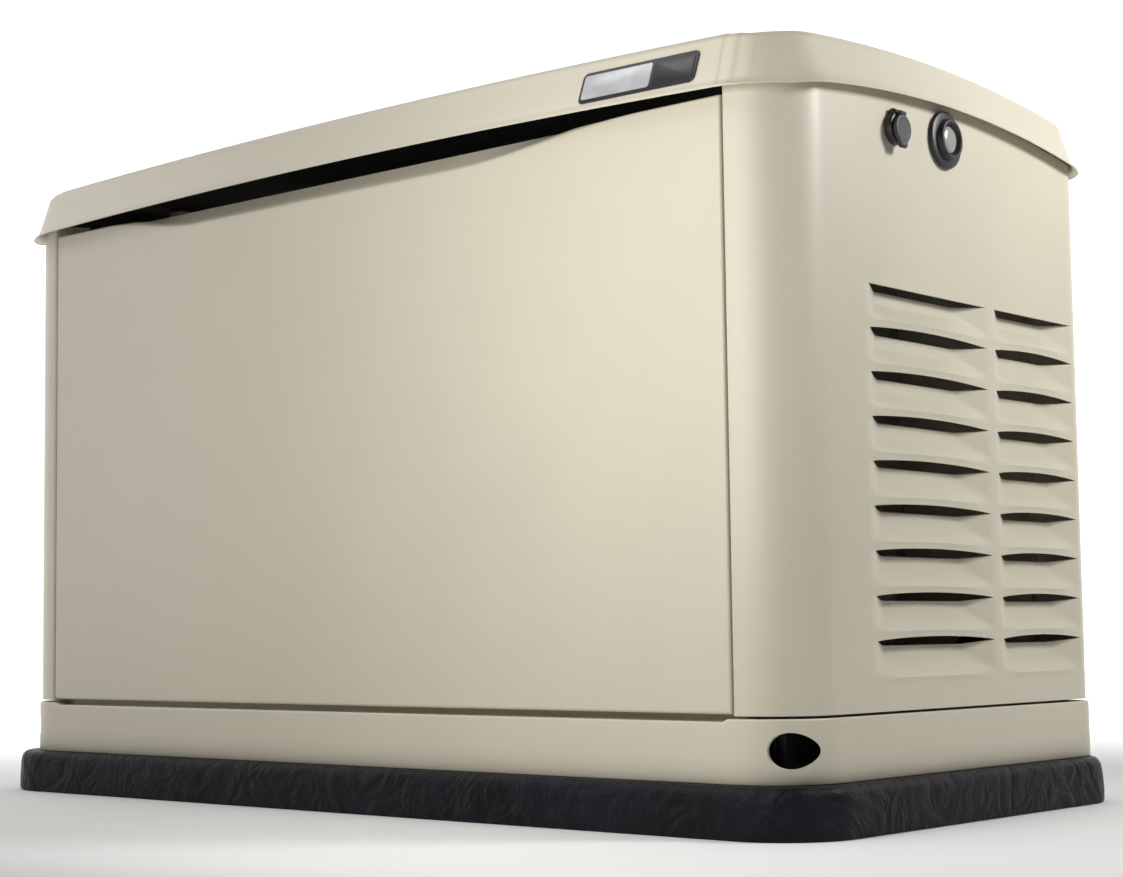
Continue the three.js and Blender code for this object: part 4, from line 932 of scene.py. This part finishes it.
def spun(obj, degrees):
    """Turns a piece about the crankshaft's line."""
    hub = Vector((0, CRANK_Y, CRANK_Z))
    turn = Matrix.Translation(hub) @ Matrix.Rotation(math.radians(degrees), 4, "X") @ Matrix.Translation(-hub)
    return moved(obj, turn)


def clamp(name, axis, centre, at, radius):
    """The thin band of a worm-drive hose clamp, without its screw."""
    band = turned("band", axis, [(at - 4.5, radius), (at - 4.5, radius + 0.9), (at + 4.5, radius + 0.9),
                                 (at + 4.5, radius)], centre, steel, 40)
    return band


# ------------------------------------------------------------------ engine
def cylinder(word, side, x):
    """A finned barrel, its head, the intake stub and head bolts."""
    foot, top = 350.6, 470
    parts = [rod("barrel", "z", 44, (foot, top), (x, 0), cast, 56, 1)]
    for k in range(12):
        z = foot + 6 + k * 9.4
        outline = rounded(56, 56, 14, 14, 5)
        fin = slab("fin", "z", [(x + a, b) for a, b in outline], (z, z + 2.4), cast, 0.7, 2)
        parts.append(fin)
    head = slab("head", "z", [(x + a, b) for a, b in rounded(61.5, 56.5, 8, 8, 4)], (top, 516.8), cast, 2, 3)
    grooves = [box("groove", (x - 80, x + 80), (s * 57.5 - 13, s * 57.5 + 13), (z, z + 4), cast, 0.6)
               for s in (-1, 1) for z in (477, 485, 493, 501)]
    parts.append(carve(head, *grooves))
    parts.append(turned("port", "x", [(x - 60, 22), (x - 69, 22), (x - 70, 21), (x - 70, 16), (x - 60, 15)],
                        (0, 494), cast, 40))
    parts += [bolt("head_bolt", "z", (x + a, b), 508, zinc, 9, 7) for a in (-50, 50) for b in (-47, 47)]
    whole = joined(f"cylinder_{word}_casting", parts)
    leaned(whole, side)
    return show(whole, "housing", [f"cylinder_{word}"])


def valve_cover(word, side, x):
    """A pressed valve cover with a rolled flange, a raised centre and four screws."""
    foot = 518.0
    rings = []
    for inset, up in [(0.8, 0), (0, 0.8), (0, 4), (0.8, 4.8), (5, 5), (6, 6.5), (7, 20), (9, 24.5), (13, 26.5),
                      (18, 27), (21, 26), (25, 25.6)]:
        corner = max(4, 18 - inset * 0.5)
        rings.append([(x + a, b, foot + up) for a, b in rounded(60 - inset, 50 - inset, corner, corner, 8)])
    cover = lofted("cover", rings, enamel, True, True, 40)
    screws = [bolt("cover_bolt", "z", (x + a, b), foot + 4.9, zinc, 7, 5) for a in (-54, 54) for b in (-38, 38)]
    ribs = [box("rib", (x - 30, x + 30), (b - 1.5, b + 1.5), (foot + 25, foot + 27.2), enamel, 0.7) for b in
            (-18, -6, 6, 18)]
    whole = joined(f"valve_cover_{word}_pressing", [cover, *screws, *ribs])
    leaned(whole, side)
    return show(whole, "housing", [f"valve_cover_{word}"])


def engine():
    case_bolts = [bolt("case_bolt", "x", (y, z), -70, zinc, 11, 8) for y, z in
                  ((-80, 120), (80, 120), (-104, 190), (104, 190), (-100, 290), (100, 290), (0, 395))]
    pan_bolts = [bolt("pan_bolt", "z", (x, y), 101, zinc, 12, 8) for x in (-236, -84) for y in (-112, 112)]
    plate = box("filler_boss", (-190, -130), (-98, -80), (150, 215), cast, 3, 3)
    refine("crankcase", 3, cast, [*case_bolts, *pan_bolts, plate])
    cylinder("front", 1, -165)
    cylinder("rear", -1, -153)
    valve_cover("front", 1, -165)
    valve_cover("rear", -1, -153)
    shroud_screws = [bolt("shroud_bolt", "x", (CRANK_Y + 138 * math.cos(a), CRANK_Z + 138 * math.sin(a)), -345,
                          zinc, 8, 5, -1) for a in [math.radians(30 + 60 * k) for k in range(6)]]
    for screw in shroud_screws:
        moved(screw, Matrix.Translation((5.2, 0, 0)))
    shell = turned("blower_shell", "x", [
        (-340, 100), (-343.6, 101.5), (-345, 104), (-345, 141), (-343.4, 146.5), (-340.5, 149), (-336, 150),
        (-262.6, 150), (-262, 149.3), (-262, 147), (-336, 147), (-341.5, 142), (-341.8, 103), (-340, 102),
    ], (CRANK_Y, CRANK_Z), black_plastic, 96)
    ribs = [box("rib", (-338, -264), (CRANK_Y - 1.5, CRANK_Y + 1.5), (CRANK_Z + 146, CRANK_Z + 149.9),
                black_plastic, 0.6) for _ in range(10)]
    for k, rib in enumerate(ribs):
        spun(rib, 36 * k)
    show(joined("blower_shroud", [shell, *ribs, *shroud_screws]), "housing", ["blower_housing"])
    refine("flywheel_fan", 1.2, cast)
    refine("crankshaft", 0.8, steel)
    starter()
    oil_service()


def starter():
    y, z = -164, 186
    drum = turned("starter_drum", "x", [
        (-258, 0), (-258, 16), (-256.5, 18), (-250, 28), (-246, 30), (-240, 31.4), (-238, 32), (-200, 32),
        (-199, 30.8), (-196, 30.8), (-195, 32), (-160, 32), (-158.5, 30.5), (-152, 29), (-150, 26), (-150, 0),
    ], (y, z), enamel, 56)
    bolts = [bolt("through_bolt", "x", (y + 24 * s, z), -152, zinc, 6, 2) for s in (-1, 1)]
    refine("starter_motor", 2.2, enamel, [drum, *bolts], keep_facets=False)


def oil_service():
    flutes = []
    filter_can = turned("filter_can", "y", [
        (-128.6, 0), (-128.6, 33), (-130, 35.4), (-132.5, 36), (-135, 35.2), (-136.5, 34), (-186, 34), (-194, 33),
        (-201, 29.5), (-205, 23), (-205.8, 14), (-206, 0),
    ], (-105, 185), yellow_plastic, 64)
    for k in range(12):
        turn = math.radians(30 * k)
        spot = (-105 + 32.2 * math.cos(turn), 185 + 32.2 * math.sin(turn))
        flutes.append(rod("flute", "y", 2.6, (-203, -184), spot, yellow_plastic, 12, 1))
    show(joined("oil_filter_can", [filter_can, *flutes]), "housing", ["oil_filter"])
    refine("oil_dipstick", 1.2, yellow_plastic)


# ------------------------------------------------------------------ alternator
def alternator():
    centre = (CRANK_Y, CRANK_Z)
    drum = turned("stator_drum", "x", [
        (-68, 119), (-66, 121), (-30, 128), (14, 137), (20, 138), (58, 138), (60, 136.4), (66, 136.4), (68, 138),
        (232, 138), (234, 136.4), (240, 136.4), (242, 138), (253.5, 138), (255, 136.5), (255, 128), (240, 128),
        (240, 100), (60, 100), (60, 116), (-66, 115.5), (-68, 117),
    ], centre, enamel, 96)
    vents = []
    for k in range(12):
        vent = slab("vent", "z", [(a - 4, b) for a, b in rounded(30, 7, 6, 6, 5)],
                    (CRANK_Z + 104, CRANK_Z + 160), enamel, 0)
        vents.append(spun(vent, 30 * k + 15))
    carve(drum, *vents)
    feet = [box("foot", (168, 212), (s * 95 - 34, s * 95 + 34), (89.6, 101), enamel, 2, 3) for s in (-1, 1)]
    feet.append(box("saddle", (172, 208), (-60, 60), (92, 128), enamel, 2.5, 3))
    feet.append(box("cross_foot", (168, 212), (-80, 80), (89.6, 100), enamel, 1.5))
    feet += [bolt("foot_bolt", "z", (190, y), 101, zinc, 13, 9) for y in (-104, 104)]
    bands = [turned("core_band", "x", [(a, 134), (a, 138.0), (a + 1.2, 138.3), (a + 2.4, 138.0), (a + 2.4, 134)],
                    centre, steel, 96) for a in spread(74, 224, 15)]
    show(joined("stator_housing", [drum, *feet, *bands]), "housing", ["stator_can"])
    windings = []
    for x in (34, 246):
        ring = turned("winding", "x", [(x - 8, 102), (x - 10, 108), (x - 8, 114), (x, 116), (x + 7, 114),
                                       (x + 8, 108), (x + 6, 102)], centre, copper, 96)
        windings.append(ring)
    show(joined("stator_windings", windings), "housing", [])
    plate = turned("carrier_plate", "x", [
        (255.6, 17.5), (255.6, 136.5), (257, 138), (267.5, 138), (269, 136.8), (269.6, 128), (276, 90), (283, 52),
        (285, 44), (285, 19), (283, 17.5),
    ], centre, cast, 96)
    windows = []
    for k in range(6):
        outline = [(-15, 64), (15, 64), (26, 108), (22, 113), (-22, 113), (-26, 108)]
        window = slab("window", "x", [(a, CRANK_Z + b) for a, b in outline], (250, 300), cast, 0)
        windows.append(spun(window, 60 * k))
    carve(plate, *windows)
    bolts = [bolt("carrier_bolt", "x", (CRANK_Y + 128 * math.cos(a), CRANK_Z + 128 * math.sin(a)), 269, zinc, 10, 8)
             for a in [math.radians(30 + 60 * k) for k in range(6)]]
    show(joined("carrier_casting", [plate, *bolts]), "housing", ["bearing_carrier"])
    refine("alternator_rotor", 1.2, enamel)


# ------------------------------------------------------------------ air, fuel and exhaust
def air_cleaner():
    x, y, half_x, half_y = -140, 48, 110, 102

    def ring(inset, z):
        corner = max(8, 26 - inset * 0.6)
        return [(x + a, y + b, z) for a, b in rounded(half_x - inset, half_y - inset, corner, corner, 10)]

    lower = [(20, 507), (18, 507.6), (10, 511), (5, 517), (4, 524), (4, 560), (3, 563), (0.6, 564), (0, 565),
             (0, 571), (0.8, 571.6)]
    tray = lofted("air_tray", [ring(*step) for step in lower], black_plastic, True, True, 40)
    lugs = [box("catch", (x + a - 9, x + a + 9), (y + s * half_y - 5, y + s * half_y - 0.4), (548, 563.4),
                black_plastic, 1.2) for a in (-60, 60) for s in (-1, 1)]
    show(joined("air_cleaner_tray", [tray, *lugs]), "housing", ["air_cleaner_box"])
    upper = [(0.8, 572.4), (0, 573), (0, 579), (0.8, 580), (4, 580.6), (5, 583), (5.6, 612), (7.5, 620), (11, 625),
             (16, 627.5), (22, 628), (25, 627), (27, 623), (30, 621.5), (60, 621.5)]
    lid = lofted("air_lid", [ring(*step) for step in upper], black_plastic, True, True, 40)
    ribs = [box("rib", (x - 68, x + 68), (y + b - 2, y + b + 2), (620, 624.6), black_plastic, 1)
            for b in spread(-54, 54, 6)]
    clips = []
    for a in (-60, 60):
        for s in (-1, 1):
            wall = y + s * (half_y - 2.6)
            clips.append(box("clip", (x + a - 7, x + a + 7), sorted((wall, wall + s * 1.6)), (574, 606), zinc, 0.5))
            clips.append(rod("clip_roll", "x", 2.2, (x + a - 7, x + a + 7), (y + s * (half_y - 3), 605), zinc, 16, 0.4))
    show(joined("air_cleaner_lid", [lid, *ribs, *clips]), "air_cover", ["air_cleaner_cover"])


def fuel_system():
    refine("fuel_mixer", 2, cast)
    refine("fuel_selector", 0.8, red_plastic)
    ring_bolts = [bolt("diaphragm_screw", "y", (60 + 48 * math.cos(a), 440 + 48 * math.sin(a)), 165.6, zinc, 6, 2.6,
                       -1) for a in [math.radians(45 * k) for k in range(8)]]
    for screw in ring_bolts:
        moved(screw, Matrix.Translation((0, 2.4, 0)))
    refine("fuel_regulator", 2, cast, ring_bolts)
    refine("fuel_hose", 0, rubber, smooth=1)


def exhaust_system():
    seams = [turned("rolled_seam", "y", [(y - 3, 66), (y - 3, 68.6), (y - 1.5, 69.6), (y + 1.5, 69.6), (y + 3, 68.6),
                                         (y + 3, 66)], (-490, 270), exhaust, 80) for y in (-180, 180)]
    straps = [turned("strap", "y", [(y - 10, 67), (y - 10, 69.2), (y + 10, 69.2), (y + 10, 67)], (-490, 270), zinc, 80)
              for y in (-95, 95)]
    refine("muffler", 2.5, exhaust, [*seams, *straps])
    refine("exhaust_pipes", 1.2, exhaust)


# ------------------------------------------------------------------ controls, battery and cables
def on_fascia(x, t, proud):
    """A point on the sloping control face, t above its foot and lifted off it by proud."""
    return (x, -262 + 0.68455 * t - 0.72896 * proud, 608 + 0.72896 * t + 0.68455 * proud)


def fascia_plate(name, x, t, proud, material, corner=3.0, edge=0.6):
    """A thin plate with rounded corners, lying on the control face."""
    half_x, half_t = (x[1] - x[0]) / 2, (t[1] - t[0]) / 2
    mid_x, mid_t = (x[0] + x[1]) / 2, (t[0] + t[1]) / 2
    rings = []
    for inset, lift in ((0, proud[0]), (0, proud[1] - edge), (edge, proud[1])):
        outline = rounded(half_x - inset, half_t - inset, corner, corner, 6)
        rings.append([on_fascia(mid_x + a, mid_t + b, lift) for a, b in outline])
    return lofted(name, rings, material, True, True, 30)


def controls():
    louvre_slots = [box("case_rib", (380, 569), (-262.6, -261.4), (z, z + 3), grey_plastic, 0.5)
                    for z in spread(440, 464, 3)]
    refine("control_box", 1.6, grey_plastic, louvre_slots)
    details = [
        fascia_plate("bezel", (404, 512), (58, 102), (2.6, 5.4), black_plastic, 5, 1.4),
        fascia_plate("screen", (411, 505), (64, 96), (5.2, 5.8), screen, 2, 0.3),
    ]
    for k, lamp in enumerate((red_plastic, yellow_plastic, lens_plastic)):
        details.append(fascia_plate("lamp", (526, 534), (66 + 14 * k, 74 + 14 * k), (2.8, 5.2), lamp, 3.9, 1.2))
    for k, shift in enumerate((0, 16, 32)):
        details.append(fascia_plate("key_pad", (540, 556), (60 + shift, 72 + shift), (2.6, 4.4), grey_plastic, 3, 1))
    refine("control_fascia", 1.2, black_plastic, details)
    for key in ("key_auto", "key_off", "key_manual"):
        refine(key, 1.2, grey_plastic)
    screws = [rod("terminal_screw", "y", 4, (-268.6, -265), (x, z), zinc, 20, 0.6) for x in (410, 450) for z in
              (484, 556)]
    refine("main_breaker", 1.2, black_plastic, screws)
    refine("breaker_toggle", 1, black_plastic)


def battery():
    caps = [rod("vent_cap", "z", 9, (249, 252.4), (x, -158), rubber, 28, 1) for x in spread(400, 536, 5)]
    ribs = [box("case_rib", (x - 1.5, x + 1.5), (-261.0, -259.5), (70, 215), black_plastic, 0.5)
            for x in spread(396, 540, 8)]
    refine("battery", 2.2, black_plastic, [*caps, *ribs])


def wiring():
    refine("cable_positive", 0, red_plastic, smooth=1)
    refine("cable_negative", 0, rubber, smooth=1)


# ------------------------------------------------------------------ sheet metal and small fittings
def fittings():
    for node, x in (("exhaust_divider", -402), ("alternator_divider", 362)):
        screws = [bolt("divider_screw", "x", (y, z), x + 0.4, zinc, 6, 2.6, -1) for y in (-262, 262) for z in
                  (90, 300, 510, 670)]
        for screw in screws:
            moved(screw, Matrix.Translation((2.4, 0, 0)))
        refine(node, 0.8, zinc, screws)
    for word in ("left", "right"):
        refine(f"hinge_base_{word}", 0.8, zinc)
        refine(f"hinge_leaf_{word}", 0.8, zinc)
        refine(f"lid_striker_{word}", 0.7, zinc)
        refine(f"lock_plug_{word}", 0.6, zinc)
    for k, (x, y) in enumerate(((-232, -104), (-232, 104), (190, -104), (190, 104)), 1):
        mount = turned("mount_rubber", "z", [
            (54.4, 0), (54.4, 23), (55.4, 24), (62, 24), (66, 22), (69, 19), (72, 18), (75, 19), (78, 22), (81, 24),
            (88, 24), (89, 23), (89, 0),
        ], (x, y), rubber, 48)
        show(mount, "housing", [f"rubber_mount_{k}"])




lock(1, "right")
lock(-1, "left")
status_light()
engine()
alternator()
air_cleaner()
fuel_system()
exhaust_system()
controls()
battery()
wiring()
fittings()


# ------------------------------------------------------------------ studio
BEHIND = math.radians(41.984)  # the way the camera looks, turned from +Y


def studio():
    """A pale seamless sweep and large soft lights."""
    towards = Vector((-math.sin(BEHIND), math.cos(BEHIND), 0))
    across = Vector((towards.y, -towards.x, 0))
    verts, faces = [], []
    track = [(-6, 0), (2.5, 0)] + [(2.5 + 2.5 * math.sin(a), 2.5 - 2.5 * math.cos(a)) for a in
                                   spread(0.1, math.pi / 2, 12)] + [(5.0, 9)]
    for reach, z in track:
        for side in (-9, 9):
            spot = towards * reach + across * side
            verts.append((spot.x / MM, spot.y / MM, z / MM))
    for k in range(len(track) - 1):
        faces.append((2 * k, 2 * k + 1, 2 * k + 3, 2 * k + 2))
    sweep = new_object("studio_sweep", verts, faces, studio_paper())
    sweep.data.shade_smooth()
    world = bpy.data.worlds.new("studio")
    world.use_nodes = True
    world.node_tree.nodes["Background"].inputs["Color"].default_value = (1, 1, 1, 1)
    world.node_tree.nodes["Background"].inputs["Strength"].default_value = 0.07
    bpy.context.scene.world = world
    light("door_light", (0.48, -0.86, 0.60), (0.42, -0.3, 0.56), 0.5, 0.6, 3.7)
    light("side_light", (1.42, 0.42, 1.10), (0.6, 0.0, 0.66), 0.3, 0.3, 11.5)
    light("lid_light", (-0.5, -1.4, 2.7), (-0.1, -0.3, 0.75), 2.2, 0.7, 20)
    light("left_light", (-1.25, -1.05, 0.62), (-0.62, -0.3, 0.55), 0.3, 0.9, 2.6)
    light("lid_end_light", (-1.65, -0.8, 1.55), (-0.5, -0.3, 0.75), 0.5, 0.5, 3)


def studio_paper():
    """Pale paper that gets brighter behind the object, so it hides the horizon without lighting the front."""
    made = bpy.data.materials.new("studio_paper")
    made.use_nodes = True
    nodes, links = made.node_tree.nodes, made.node_tree.links
    shader = nodes["Principled BSDF"]
    shader.inputs["Base Color"].default_value = (0.82, 0.82, 0.82, 1)
    shader.inputs["Roughness"].default_value = 0.9
    shader.inputs["Emission Color"].default_value = (1, 1, 1, 1)
    place = nodes.new("ShaderNodeTexCoord")
    turn = nodes.new("ShaderNodeVectorRotate")
    turn.rotation_type = "Z_AXIS"
    turn.inputs["Angle"].default_value = -BEHIND
    split = nodes.new("ShaderNodeSeparateXYZ")
    share = nodes.new("ShaderNodeMapRange")
    share.interpolation_type = "SMOOTHSTEP"
    share.inputs["From Min"].default_value = 0.15
    share.inputs["From Max"].default_value = 1.9
    share.inputs["To Max"].default_value = 1.0
    links.new(place.outputs["Object"], turn.inputs["Vector"])
    links.new(turn.outputs["Vector"], split.inputs["Vector"])
    links.new(split.outputs["Y"], share.inputs["Value"])
    links.new(share.outputs["Result"], shader.inputs["Emission Strength"])
    return made


def light(name, place, target, width, height, power):
    data = bpy.data.lights.new(name, "AREA")
    data.shape = "RECTANGLE"
    data.size, data.size_y = width, height
    data.energy = power
    lamp = bpy.data.objects.new(name, data)
    lamp.location = place
    lamp.visible_camera = False
    lamp.rotation_euler = (Vector(target) - Vector(place)).to_track_quat("-Z", "Y").to_euler()
    bpy.context.scene.collection.objects.link(lamp)


def camera():
    yaw, pitch, roll = math.radians(41.984), math.radians(4.681), math.radians(-0.574)
    forward = Vector((-math.sin(yaw) * math.cos(pitch), math.cos(yaw) * math.cos(pitch), math.sin(pitch)))
    level = Vector((math.cos(yaw), math.sin(yaw), 0))
    upright = level.cross(forward)
    right = level * math.cos(roll) + upright * math.sin(roll)
    up = upright * math.cos(roll) - level * math.sin(roll)
    data = bpy.data.cameras.new("photo_camera")
    data.sensor_width = 36
    data.lens = 67.757
    data.shift_x, data.shift_y = 0.0700, 0.0168
    data.clip_end = 60
    made = bpy.data.objects.new("photo_camera", data)
    made.matrix_world = Matrix((
        (right.x, up.x, -forward.x, 1.6887),
        (right.y, up.y, -forward.y, -1.9452),
        (right.z, up.z, -forward.z, 0.1966),
        (0, 0, 0, 1),
    ))
    bpy.context.scene.collection.objects.link(made)
    bpy.context.scene.camera = made


studio()
camera()
bpy.context.scene.view_settings.view_transform = "Standard"
